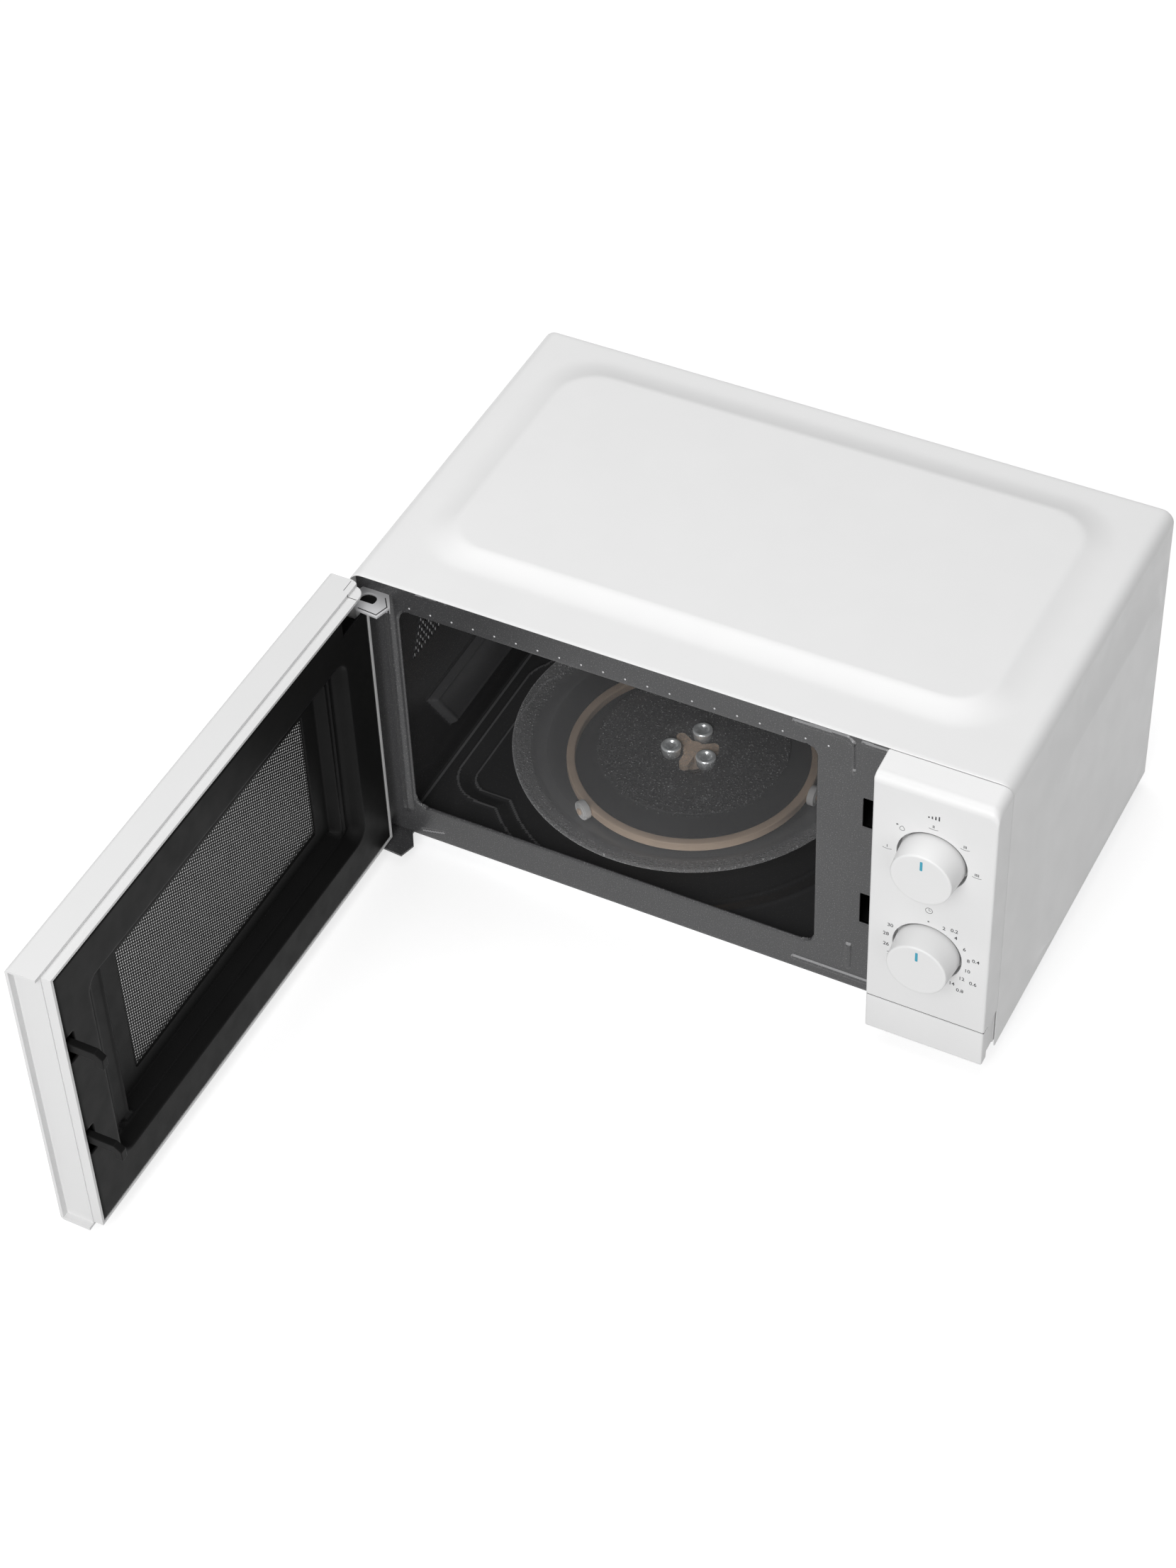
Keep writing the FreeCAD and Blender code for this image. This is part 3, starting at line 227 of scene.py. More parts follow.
def clear(name, colour, rough, facing_alpha, edge_alpha):
    """Clear sheet or bulb: almost nothing to see head-on, a sheen along its edges."""
    made = Nodes(name)
    drift = made.spread(made.noise(DRIFT, 2.0), 0, 1)
    made.surface({"Base Color": made.blend(drift, shade(colour, 0.96), colour),
                  "Roughness": made.spread(made.noise(30.0, 2.0), rough * 0.8, rough * 1.2),
                  "Alpha": made.spread(made.facing(0.4), facing_alpha, edge_alpha, 0.2, 1.0),
                  "IOR": 1.49})
    made.bump(made.noise(6.0, 1.0), 0.002)


def tray_glass(name, haze, facing_alpha, edge_alpha, relief):
    """Pressed glass: pebbled in the middle and at the rim, smooth over the track of the wheels."""
    made = Nodes(name)
    flat = made.add("Mapping", {"Vector": made.place, "Scale": (1, 1, 0)})
    axis = (TRAY_X * MM, TRAY_Y * MM, 0)
    radius = made.add("VectorMath", {0: flat.outputs["Vector"], 1: axis}, operation="DISTANCE")
    middle = made.spread(radius.outputs["Value"], 1, 0, *TRACK[:2])
    rim = made.spread(radius.outputs["Value"], 0, 1, *TRACK[2:])
    pebbled = made.combine("MAXIMUM", middle, rim)
    stipple = made.combine("MULTIPLY", made.noise(1.25, 2.0), pebbled)
    # Pebble peaks are painted lighter and more opaque: painted glints.
    grains = made.spread(stipple, 0, 1, 0.45, 0.75)
    glints = made.spread(stipple, 0.0, 0.38, 0.60, 0.70)
    veil = made.spread(made.facing(0.5), facing_alpha, edge_alpha, 0.25, 0.95)
    made.surface({"Base Color": made.blend(grains, haze, shade(haze, 1.8)),
                  "Roughness": made.spread(pebbled, 0.12, 0.2, 0, 1),
                  "Alpha": made.combine("MAXIMUM", veil, glints),
                  "IOR": 1.5})
    made.bump(stipple, relief)


WHITE = grey(0.8)
finish("cover_paint", WHITE, 0.36, grain=0.9, relief=0.004, vary=0.006)
brushed("galvanised_steel", (0.60, 0.61, 0.62), 0.38, "x")
speckled("front_paint", grey(0.05, 0.002), grey(0.15), 0.33, 0.8, 0.34)
speckled("cavity_enamel", grey(0.04, 0.001), grey(0.062, 0.001), 0.2, 0.9, 0.3)
finish("white_plastic", WHITE, 0.40, grain=0.35, relief=0.006, vary=0.006)
finish("black_plastic", grey(0.009), 0.42, grain=0.4, vary=0.1, gloss=0.055)
finish("door_steel", grey(0.01), 0.45, grain=0.7, relief=0.006, vary=0.08, gloss=0.07)
clear("window_acrylic", (0.55, 0.56, 0.57), 0.05, 0.10, 0.55)
tray_glass("tray_glass", grey(0.62, 0.01), 0.11, 0.62, 1.0)
finish("ring_plastic", (0.90, 0.69, 0.52), 0.5, grain=0.5, relief=0.02, vary=0.07)
finish("wheel_plastic", (1.0, 1.0, 0.99), 0.42, grain=0.3, vary=0.02)
brushed("motor_steel", grey(0.55), 0.34, "z")
brushed("core_steel", (0.16, 0.15, 0.14), 0.5, "y")
brushed("copper_wire", (0.62, 0.28, 0.12), 0.35, "x")
brushed("can_aluminium", grey(0.72, 0.01), 0.3, "x")
finish("control_plastic", (0.42, 0.42, 0.40), 0.5, grain=0.5, relief=0.02, vary=0.04)
finish("board_laminate", (0.06, 0.13, 0.05), 0.45, grain=0.8, relief=0.02, vary=0.15)
finish("ceramic_body", (0.78, 0.75, 0.68), 0.35, grain=0.4)
clear("lamp_glass", (0.80, 0.80, 0.76), 0.06, 0.18, 0.8)
speckled("mica", (0.36, 0.31, 0.24), (0.55, 0.50, 0.42), 0.4, 1.5, 0.4)
brushed("spring_steel", grey(0.5, 0.01), 0.3, "z")
finish("foot_rubber", grey(0.025), 0.7, grain=0.5, relief=0.03, vary=0.15)
brushed("screw_steel", grey(0.6, 0.02), 0.32, "x")
# Lighter enamel, a painted highlight along the floor's raised lines and the left fillet.
speckled("crest_highlight_enamel", grey(0.11, 0.002), grey(0.14, 0.002), 0.22, 0.9, 0.3)
# Lighter enamel, a painted reflection on the left wall's raised field.
speckled("field_reflection_enamel", grey(0.078, 0.002), grey(0.1, 0.002), 0.22, 0.9, 0.3)
# Lighter front paint, a painted highlight on the plate's upward-facing flanks.
speckled("front_paint_highlight", grey(0.26, 0.005), grey(0.34, 0.005), 0.28, 0.8, 0.34)
finish("door_white", grey(0.735), 0.40, grain=0.35, relief=0.006, vary=0.006)
finish("dial_ink", grey(0.045, 0.005), 0.5, grain=0.3, relief=0.003, vary=0.08)
finish("lug_glass", (0.86, 0.88, 0.89), 0.13, grain=1.2, relief=0.03, metal=0.6)
finish("hinge_zinc", grey(0.62, 0.01), 0.42, grain=0.5, relief=0.006, vary=0.05, metal=0.25)
finish("pointer_ink", (0.030, 0.33, 0.46), 0.4, grain=0.3, relief=0.003)


# ---- mesh helpers ----
@contextmanager
def edited(mesh):
    """The mesh as a bmesh, written back afterwards."""
    built = bmesh.new()
    built.from_mesh(mesh)
    yield built
    built.to_mesh(mesh)
    built.free()


def add_object(name, data):
    item = bpy.data.objects.new(name, data)
    bpy.context.scene.collection.objects.link(item)
    return item


def smooth(mesh, sharp):
    mesh.shade_smooth()
    mesh.set_sharp_from_angle(angle=radians(sharp))


def add_mesh(name, form, material, sharp=35.0):
    """A form as an object, with edges sharp where they turn by more than the angle."""
    mesh = bpy.data.meshes.new(name)
    mesh.from_pydata([Vector(v) * MM for v in form[0]], [], form[1])
    with edited(mesh) as built:
        bmesh.ops.remove_doubles(built, verts=built.verts, dist=1e-6)
        bmesh.ops.recalc_face_normals(built, faces=built.faces)
    smooth(mesh, sharp)
    mesh.materials.append(FINISH[material])
    return add_object(name, mesh)


def stand_for(piece, node):
    """The piece rides and shows in place of a CAD node."""
    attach(piece, frame["nodes"][node]["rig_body"])
    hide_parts(node)
    return piece


def extra(piece, body="cabinet"):
    """The piece rides on a body without replacing a CAD node."""
    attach(piece, body)


def merged(forms):
    """Several forms as one."""
    verts, faces = [], []
    for more, more_faces in forms:
        faces += [tuple(i + len(verts) for i in face) for face in more_faces]
        verts += more
    return verts, faces


def loft(loops, wrap=False, caps=False):
    """A skin through closed loops with the same number of points."""
    count = len(loops[0])
    verts = [point for loop in loops for point in loop]
    faces = []
    for row in range(len(loops) if wrap else len(loops) - 1):
        a, b = row * count, (row + 1) % len(loops) * count
        for i in range(count):
            j = (i + 1) % count
            faces.append((a + i, a + j, b + j, b + i))
    if caps:
        faces.append(tuple(range(count)))
        faces.append(tuple(range((len(loops) - 1) * count, len(loops) * count)))
    return verts, faces


def lathe(profile, place, segments=128, lift=None):
    """A turned form: profile points are (radius, height); place(radius, angle, height) gives the point."""
    loops = []
    for index, (radius, height) in enumerate(profile):
        loop = []
        for step in range(segments):
            angle = 2 * pi * step / segments
            rise = lift(radius, angle, index) if lift else 0.0
            loop.append(place(radius, angle, height + rise))
        loops.append(loop)
    return loft(loops, wrap=profile[0][0] > 0 and profile[-1][0] > 0)


def about_y(cx, cz):
    """A place for lathe: heights are depths along Y."""
    return lambda radius, angle, y: (cx + radius * cos(angle), y, cz + radius * sin(angle))


def about_z(cx, cy, base=0.0):
    """A place for lathe: heights stand on a level."""
    return lambda radius, angle, z: (cx + radius * cos(angle), cy + radius * sin(angle), base + z)


def about_spoke(centre, turn):
    """A place for lathe: heights lie along a level line that leaves the centre at the angle turn."""
    outward = Vector((cos(turn), sin(turn), 0))
    side = Vector((-outward.y, outward.x, 0))

    def place(radius, angle, reach):
        return centre + outward * reach + (side * cos(angle) + Vector((0, 0, 1)) * sin(angle)) * radius
    return place


def arc(cx, cy, radius, start, end, steps=6):
    """Points of an arc, from start to end in degrees."""
    turns = [radians(start + (end - start) * i / steps) for i in range(steps + 1)]
    return [(cx + radius * cos(t), cy + radius * sin(t)) for t in turns]


def stations(start, end, step, marks=()):
    """Even stations from start to end that also stand on each mark."""
    stops = sorted({start, end, *(m for m in marks if start < m < end)})
    found = []
    for low, high in zip(stops, stops[1:]):
        count = max(1, round((high - low) / step))
        found += [low + (high - low) * i / count for i in range(count)]
    return found + [end]


def graded(start, end, coarse, fine, zones, marks=()):
    """Stations that are close together inside the zones."""
    stops = sorted({start, end, *(stop for zone in zones for stop in zone)})
    found = []
    for low, high in zip(stops, stops[1:]):
        inside = any(a <= low and high <= b for a, b in zones)
        found += stations(low, high, fine if inside else coarse, marks)[:-1]
    return found + [end]


def sheet(us, vs, point, keep=lambda u, v: True):
    """Faces of a sheet over two lists of stations; keep() tests the middle of each cell."""
    verts = [point(u, v) for u in us for v in vs]
    faces = []
    for i in range(len(us) - 1):
        for j in range(len(vs) - 1):
            if keep((us[i] + us[i + 1]) / 2, (vs[j] + vs[j + 1]) / 2):
                a = i * len(vs) + j
                faces.append((a, a + 1, a + len(vs) + 1, a + len(vs)))
    return verts, faces


def tint(piece, material, inside):
    """Give the faces whose middle passes the test a second material."""
    piece.data.materials.append(FINISH[material])
    for face in piece.data.polygons:
        if inside(face.center / MM):
            face.material_index = 1


def add_sheet(node, name, form, material, thickness, towards):
    """A sheet in place of a CAD node, thick on the side that the direction points to."""
    piece = add_mesh(name, form, material, 60)
    with edited(piece.data) as built:
        bmesh.ops.delete(built, geom=[v for v in built.verts if not v.link_faces], context="VERTS")
    facing = sum((face.normal * face.area for face in piece.data.polygons), Vector())
    modifier = piece.modifiers.new("Thickness", "SOLIDIFY")
    modifier.thickness = thickness * MM
    modifier.offset = 1.0 if facing.dot(Vector(towards)) > 0 else -1.0
    return stand_for(piece, node)


def rect_distance(u, v, rect):
    """Signed distance to a rectangle (u0, u1, v0, v1, corner radius), negative inside."""
    u0, u1, v0, v1, radius = rect
    qu = abs(u - (u0 + u1) / 2) - (u1 - u0) / 2 + radius
    qv = abs(v - (v0 + v1) / 2) - (v1 - v0) / 2 + radius
    return hypot(max(qu, 0), max(qv, 0)) + min(max(qu, qv), 0) - radius


def ease(t):
    t = min(1.0, max(0.0, t))
    return t * t * (3 - 2 * t)


def pressed(u, v, outer, inner):
    """How far a pressed field stands up: 1 inside inner, 0 outside outer, and the share between them."""
    outside = rect_distance(u, v, inner)
    inside = -rect_distance(u, v, outer)
    if outside <= 0:
        return 1.0
    if inside <= 0:
        return 0.0
    return inside / (inside + outside)


def to_line(point, start, end):
    """Distance from a point to the line between two points."""
    du, dv = end[0] - start[0], end[1] - start[1]
    t = ((point[0] - start[0]) * du + (point[1] - start[1]) * dv) / (du * du + dv * dv)
    t = min(1.0, max(0.0, t))
    return hypot(point[0] - start[0] - t * du, point[1] - start[1] - t * dv)


def rib(u, v, path, half_width):
    """Height share of a rounded rib along a path of points."""
    near = min(to_line((u, v), a, b) for a, b in zip(path, path[1:]))
    return 0.5 + 0.5 * cos(pi * min(1.0, near / half_width))


def hump(x, width):
    return exp(-(x / width) ** 2)


def rolled(distance, radius):
    """How far a rounded edge falls back at a distance from it."""
    return radius - sqrt(radius ** 2 - (radius - min(radius, max(0.0, distance))) ** 2)


def in_any(u, v, boxes):
    return any(a < u < b and c < v < d for a, b, c, d in boxes)


BLOCK_FACES = [(0, 1, 3, 2), (4, 6, 7, 5), (0, 4, 5, 1), (2, 3, 7, 6), (0, 2, 6, 4), (1, 5, 7, 3)]


def soften(piece, width, segments=2):
    """Round the piece's sharp edges a little."""
    bevel = piece.modifiers.new("Edges", "BEVEL")
    bevel.width = width * MM
    bevel.segments = segments
    bevel.limit_method = "ANGLE"
    bevel.angle_limit = radians(35.0)
    weigh(piece)
    return piece


def weigh(piece):
    """Shade flat faces flat beside their rounded edges."""
    normals = piece.modifiers.new("Normals", "WEIGHTED_NORMAL")
    normals.keep_sharp = True


def from_node(node, width, name=None):
    """A piece with the node's own form, cleaned up and with softened edges."""
    mesh = frame["nodes"][node].data.copy()
    with edited(mesh) as built:
        bmesh.ops.remove_doubles(built, verts=built.verts, dist=2e-6)
        bmesh.ops.dissolve_limit(built, angle_limit=radians(1.0), verts=built.verts, edges=built.edges)
    smooth(mesh, 35)
    mesh.materials.clear()
    mesh.materials.append(FINISH[SLOT_OF[node]])
    piece = add_object(name or node + "_finished", mesh)
    if width:
        soften(piece, width)
    return stand_for(piece, node)


def cut(piece, cutter):
    """Take a scratch form out of the piece."""
    modifier = piece.modifiers.new("Cut", "BOOLEAN")
    modifier.operation = "DIFFERENCE"
    modifier.solver = "EXACT"
    modifier.object = cutter
    final = evaluated(piece)
    piece.modifiers.clear()
    piece.data = final
    bpy.data.objects.remove(cutter)


def evaluated(item):
    """The object's mesh with its modifiers, or a curve's mesh."""
    graph = bpy.context.evaluated_depsgraph_get()
    return bpy.data.meshes.new_from_object(item.evaluated_get(graph))


def block(x0, x1, y0, y1, z0, z1):
    verts = [(x, y, z) for x in (x0, x1) for y in (y0, y1) for z in (z0, z1)]
    return verts, BLOCK_FACES


# ---- outer cover ----
COVER_STEP, COVER_R = 2.6, 9.0
HEM, REAR_R, LIP, RETURN = 0.45, 2.0, 13.0, 6.2
TOP_OUTER = (-204.0, 204.0, FRONT + 30, FRONT + 256, 40.0)
TOP_INNER = (-185.0, 185.0, FRONT + 49, FRONT + 237, 28.0)
SIDE_OUTER = (FRONT + 44, FRONT + 263, BASE + 8, BASE + 204, 34.0)
SIDE_INNER = (FRONT + 66, FRONT + 256, BASE + 15, BASE + 180, 26.0)


def cover_section():
    """Stations along the folded section: x, z, outward direction and the face they lie on."""
    edge, bend_z = SIDE - COVER_R, TOP - COVER_R
    up = stations(BASE, bend_z, COVER_STEP)

    def bend(cx, start, end):
        return [(x, z, ((x - cx) / COVER_R, (z - TOP + COVER_R) / COVER_R), "bend")
                for x, z in arc(cx, bend_z, COVER_R, start, end, 10)[1:-1]]

    return [*((-SIDE, z, (-1, 0), "side") for z in up), *bend(-edge, 180, 90),
            *((x, TOP, (0, 1), "top") for x in stations(-edge, edge, COVER_STEP, TOP_INNER[:2])),
            *bend(edge, 90, 0), *((SIDE, z, (1, 0), "side") for z in reversed(up))]


def cover_rise(x, y, z, face):
    if face == "top":
        return CROWN * pressed(x, y, TOP_OUTER, TOP_INNER) ** 1.7
    if face == "side":
        return BULGE * pressed(y, z, SIDE_OUTER, SIDE_INNER) ** 2
    return 0.0


def make_cover():
    rows = stations(FRONT + HEM, REAR - REAR_R, COVER_STEP, TOP_INNER[2:4])
    turns = [radians(t) for t in (22, 45, 68, 90)]
    skin = arc(FRONT + HEM, HEM, HEM, 90, 270, 6) + [(y, 0.0) for y in rows[1:]]
    skin += [(REAR - REAR_R + REAR_R * sin(t), REAR_R - REAR_R * cos(t)) for t in turns]
    skin += [(REAR, LIP), (REAR - SHEET, LIP), (REAR - SHEET, REAR_R), (REAR - REAR_R, SHEET)]
    skin += [(y, SHEET) for y in reversed(rows[3:-1])]
    skin += [(FRONT + RETURN, SHEET), (FRONT + RETURN, 2 * HEM)]
    loops = []
    for x, z, out, face in cover_section():
        loop = []
        for y, inset in skin:
            depth = inset - cover_rise(x, y, z, face)
            px, pz = x - out[0] * depth, z - out[1] * depth
            if inset > COVER_R:
                px = max(inset - SIDE, min(SIDE - inset, px))
                pz = min(TOP - inset, pz)
            loop.append((px, y, pz))
        loops.append(loop)
    stand_for(add_mesh("cover_folded_sheet", loft(loops, caps=True), "cover_paint", 40), "outer_cover")


# ---- front plate ----
DOT_PROFILE = [(0.75, 0.1), (0.7, -0.12), (0.45, -0.32), (0, -0.38)]
DOT_PITCH, DOT_COUNT = 15.25, 20
OPENING_ROLL = 1.5
PLATE_PITCH, FINE_PITCH = 1.6, 0.5


def band(u, v, path, half_width, flank):
    """Height share of a flat-topped raised band along a path of points."""
    near = min(to_line((u, v), a, b) for a, b in zip(path, path[1:]))
    return ease((half_width - near) / flank)


def plate_relief(x, z):
    """How far the front plate is pressed forward."""
    up = z - BASE
    rise = 1.3 * rib(x, up, [(-201.5, 24), (-201.5, 214)], 4.2)
    rise += 0.9 * band(x, up, [(-180, 224.4), (-160, 225.4)], 1.6, 0.9)
    rise -= 0.7 * rib(x, up, [(-191.5, 6.7), (-176, 10.5)], 2.0)
    rise += 1.1 * band(x, up, [(80.9, 222.2), (115.5, 222.6), (119.0, 219.5)], 2.4, 1.1)
    rise += 0.9 * rib(x, up, [(119.6, 221.0), (120.2, 199.0)], 1.3)
    rise += 1.1 * rib(x, up, [(120.3, 196.0), (120.3, 195.9)], 2.4)
    rise += 1.0 * band(x, up, [(126.0, 222.2), (141.0, 221.8)], 2.2, 1.1)
    rise += 1.0 * band(x, up, [(120.2, 18.5), (120.2, 39.0)], 2.4, 1.1)
    rise += 1.1 * band(x, up, [(82.5, 9.7), (134.0, 9.7)], 2.4, 1.1)
    return min(rise, PLATE_Y - DOOR_REAR - 0.15)


def snap_round(x, z, rect, pitch):
    """Pull a point near the round corner of an opening onto the corner."""
    x0, x1, z0, z1, radius = rect
    cx = min(max(x, x0 + radius), x1 - radius)
    cz = min(max(z, z0 + radius), z1 - radius)
    reach = hypot(x - cx, z - cz)
    if x != cx and z != cz and abs(reach - radius) < 0.6 * pitch:
        x, z = cx + (x - cx) * radius / reach, cz + (z - cz) * radius / reach
    return x, z


def make_front_plate():
    x0, x1, z0, z1 = OPENING[:4]
    slots = [(127.0, 141.0, BASE + 151, BASE + 176), (127.0, 141.0, BASE + 64, BASE + 91),
             (152.0, 217.0, BASE + 62, BASE + 200), (170.0, 198.0, BASE + 8, BASE + 30)]
    outline = (plate_low.x, plate_high.x, plate_low.z - 20, plate_high.z, 8.2)
    near = (0, 0.3, 0.8, 1.5)
    marks_x = [m for n in near for m in (x0 - n, x1 + n)] + [m for slot in slots for m in slot[:2]]
    marks_z = [m for n in near for m in (z0 - n, z1 + n)] + [m for slot in slots for m in slot[2:]]
    fine_x = [(-206, -187), (-183, -156), (77, 143)]
    fine_z = [(BASE + 4, BASE + 14), (BASE + 217, BASE + 228)]
    xs = graded(plate_low.x, plate_high.x, PLATE_PITCH, FINE_PITCH, fine_x, marks_x)
    zs = graded(plate_low.z, plate_high.z, PLATE_PITCH, FINE_PITCH, fine_z, marks_z)

    def point(x, z):
        sx, sz = snap_round(x, z, OPENING, PLATE_PITCH)
        sx, sz = snap_round(sx, sz, outline, PLATE_PITCH)
        roll = rolled(rect_distance(sx, sz, OPENING), OPENING_ROLL)
        return (sx, PLATE_Y - plate_relief(sx, sz) + roll, sz)

    def keep(x, z):
        if rect_distance(x, z, OPENING) < 0 or rect_distance(x, z, outline) > 0:
            return False
        return not in_any(x, z, slots)

    piece = add_sheet("front_plate", "front_plate_pressed", sheet(xs, zs, point, keep), "front_paint",
                      SHEET, (0, 1, 0))
    # Faces that face upward on the ribs' and bands' flanks get the lighter paint: painted highlight.
    tint(piece, "front_paint_highlight",
         lambda c: plate_relief(c.x, c.z - 0.4) - plate_relief(c.x, c.z + 0.4) > 0.28)

    profile = [(r, PLATE_Y + y) for r, y in DOT_PROFILE]
    dots = [lathe(profile, about_y(-186.5 + DOT_PITCH * i, BASE + 210.6), 10) for i in range(DOT_COUNT)]
    extra(add_mesh("plate_weld_dots", merged(dots), "hinge_zinc", 60))


# ---- cavity ----
FLOOR_DROP, FLOOR_FILLET = 2.4, 2.5
FIELD_RISE = 3.4
FIELD_R = 128.0
HUB_HOLE = 9.0
CAVITY_PITCH = 1.3
VENT_PITCH = (4.6, 4.4)
VENT_R = 0.9
VENTS = (FRONT + 24, FRONT + 78, BASE + 143, BASE + 176)
WALL_FIELD = [(FRONT + 36, BASE + 98), (FRONT + 250, BASE + 98), (FRONT + 250, BASE + 50),
              (FRONT + 64, BASE + 50)]


def low_field(x, y):
    """Distance from the lowered field round the turntable, negative inside."""
    bay = (TRAY_X - FIELD_R, TRAY_X + 30.0, FRONT + 47, FRONT + 170, 14.0)
    return min(hypot(x - TRAY_X, y - TRAY_Y) - FIELD_R, rect_distance(x, y, bay))


def floor_level(x, y):
    """The floor is pressed down round the turntable and along its left side, and turns up at the walls."""
    far = low_field(x, y)
    step = FLOOR_DROP * ease((far - 1.0) / 11.0)
    crest = 0.5 * hump(far - 12.6, 1.3) + 0.4 * hump(far - 0.2, 1.2)
    return step + 1.5 * crest + rolled(min(x - CAV_X0, CAV_X1 - x, CAV_Y1 - y), FLOOR_FILLET)


def on_crest(x, y):
    """Along the raised lines left of the turntable and the fillet at the left wall."""
    far = low_field(x, y)
    return abs(far - 12.4) < 0.75 or abs(far - 0.4) < 0.75 or abs(x - CAV_X0 - 1.6) < 0.8


def beyond_field(y, z):
    """Distance from the left wall's raised field, negative inside."""
    outside = -inf
    for (ya, za), (yb, zb) in zip(WALL_FIELD, WALL_FIELD[1:] + WALL_FIELD[:1]):
        long = hypot(yb - ya, zb - za)
        outside = max(outside, ((y - ya) * (zb - za) - (z - za) * (yb - ya)) / -long)
    return outside


def wall_relief(y, z):
    """A raised field with a slanting front edge."""
    outside = beyond_field(y, z)
    tilt = 1.0 + 0.012 * (BASE + 98 - z)
    return FIELD_RISE * tilt * ease(-outside / 5.0) + 0.5 * hump(outside + 5.5, 1.1)


def make_cavity():
    xs = graded(CAV_X0, CAV_X1, CAVITY_PITCH, 0.7, [(CAV_X0, CAV_X0 + 26), (CAV_X1 - 3, CAV_X1)])
    ys = graded(CAV_Y0, CAV_Y1, CAVITY_PITCH, 0.7, [(CAV_Y1 - 3, CAV_Y1)])
    form = sheet(xs, ys, lambda x, y: (x, y, CAV_Z0 - 0.05 + floor_level(x, y)),
                 lambda x, y: hypot(x - TRAY_X, y - TRAY_Y) > HUB_HOLE)
    piece = add_sheet("cavity_floor", "cavity_floor_pressed", form, "cavity_enamel", 0.55, (0, 0, -1))
    # Faces along the raised lines and the left wall's fillet get the lighter enamel: painted highlight.
    tint(piece, "crest_highlight_enamel", lambda c: c.x < TRAY_X - 20 and on_crest(c.x, c.y))

    vents = [(FRONT + 28 + 2.2 * row + VENT_PITCH[0] * column, BASE + 146.5 + VENT_PITCH[1] * row)
             for row in range(7) for column in range(8)]

    def to_vent(y, z):
        """Distance from the nearest slotted hole's middle line."""
        if not in_any(y, z, [VENTS]):
            return inf
        return min(hypot(y - vy, max(0.0, abs(z - vz) - 0.9)) for vy, vz in vents)

    def wall_point(y, z):
        return (CAV_X0 + wall_relief(y, z) + 0.6 * hump(to_vent(y, z) - 1.3, 0.45), y, z)

    ys = graded(CAV_Y0, CAV_Y1, 1.6, 0.55, [VENTS[:2]])
    zs = graded(CAV_Z0, CAV_Z1, 1.6, 0.55, [VENTS[2:]])
    form = sheet(ys, zs, wall_point, lambda y, z: to_vent(y, z) > VENT_R)
    piece = add_sheet("cavity_left_wall", "cavity_left_pressed", form, "cavity_enamel", 0.6, (-1, 0, 0))
    # The raised field gets a lighter enamel: painted reflection.
    tint(piece, "field_reflection_enamel", lambda c: beyond_field(c.y, c.z) < -1.0)
    # Light zinc-coloured strips at each slotted hole's edge: painted highlights where the edges catch light.
    edges = [block(CAV_X0 - 0.2, CAV_X0 + 0.35, vy + 0.75, vy + 1.35, vz - 1.3, vz + 1.3) for vy, vz in vents]
    extra(add_mesh("cavity_vent_glints", merged(edges), "hinge_zinc", 30))
    for node in ("cavity_back_wall", "cavity_right_wall", "cavity_roof"):
        from_node(node, 0.0)


# ---- turntable ----
PEBBLE, PEBBLE_SIZE = 0.22, 1.9
SMOOTH = (67, 104)
GLASS = 4.0
LUG_R = 15.0
LUG_PROFILE = [(0, -4.4), (3.2, -4.35), (5.0, -4.0), (6.0, -3.3), (6.5, -2.2), (6.7, 0.0), (7.0, 3.6),
               (6.8, 4.6), (6.0, 5.3), (4.9, 5.2), (4.1, 4.4), (3.2, 3.2), (1.6, 2.6), (0, 2.5)]
RING_R = (80.4, 86.2)
RING_HALF = 3.4
STUB = [(0, 85.0), (2.6, 85.0), (2.6, 86.0), (1.5, 86.2), (1.5, 92.3), (2.4, 92.4), (2.4, 93.2), (2.1, 93.4),
        (0, 93.4)]
SPOKES = [radians(a) for a in (0, 120, 240)]


def pebbles(radius, angle):
    """The pebbled underside; the track of the wheels is smooth."""
    if SMOOTH[0] < radius < SMOOTH[1]:
        return 0.0
    x, y = radius * cos(angle), radius * sin(angle)
    return PEBBLE * noise.noise(Vector((x, y, 0)) / PEBBLE_SIZE) * min(1.0, radius / 5)


def make_tray():
    """Glass plate: flat top, upturned rim, pebbled underside with three driving lugs."""
    rim = tray_high.z - TRAY_Z
    under = [(r, 0.0) for r in stations(0.0, 8.0, 2.0) + stations(8.6, 21.8, 0.6) + stations(23, 103, 1.6)]
    under += [(104.5, 0.15), (107, 0.6), (110, 1.3), (113, 2.3), (116, 3.7), (118.5, 5.2), (120.6, 6.9)]
    last = len(under) - 1
    under += arc(TRAY_R - 1.6, rim - 1.6, 1.6, -30, 150, 8)
    over = [(118.2, rim - 1.5), (115.5, rim - 3.0), (112, rim - 4.2), (108, rim - 4.8), (104, 4.3),
            (101, GLASS)]
    over += [(r, GLASS) for r in reversed(stations(23, 99, 2.0) + stations(0, 22, 2.0)[:-1])]
    form = lathe(under + over, about_z(TRAY_X, TRAY_Y, TRAY_Z), 360,
                 lambda radius, angle, index: 0.0 if index > last else pebbles(radius, angle))
    stand_for(add_mesh("tray_pressed_glass", form, "tray_glass", 50), "glass_tray")
    lugs = []
    for angle in (90, 210, 330):
        x, y = TRAY_X + LUG_R * cos(radians(angle)), TRAY_Y + LUG_R * sin(radians(angle))
        lugs.append(lathe(LUG_PROFILE, about_z(x, y, TRAY_Z), 32))
    extra(add_mesh("tray_driving_lugs", merged(lugs), "lug_glass", 60),
          frame["nodes"]["glass_tray"]["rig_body"])


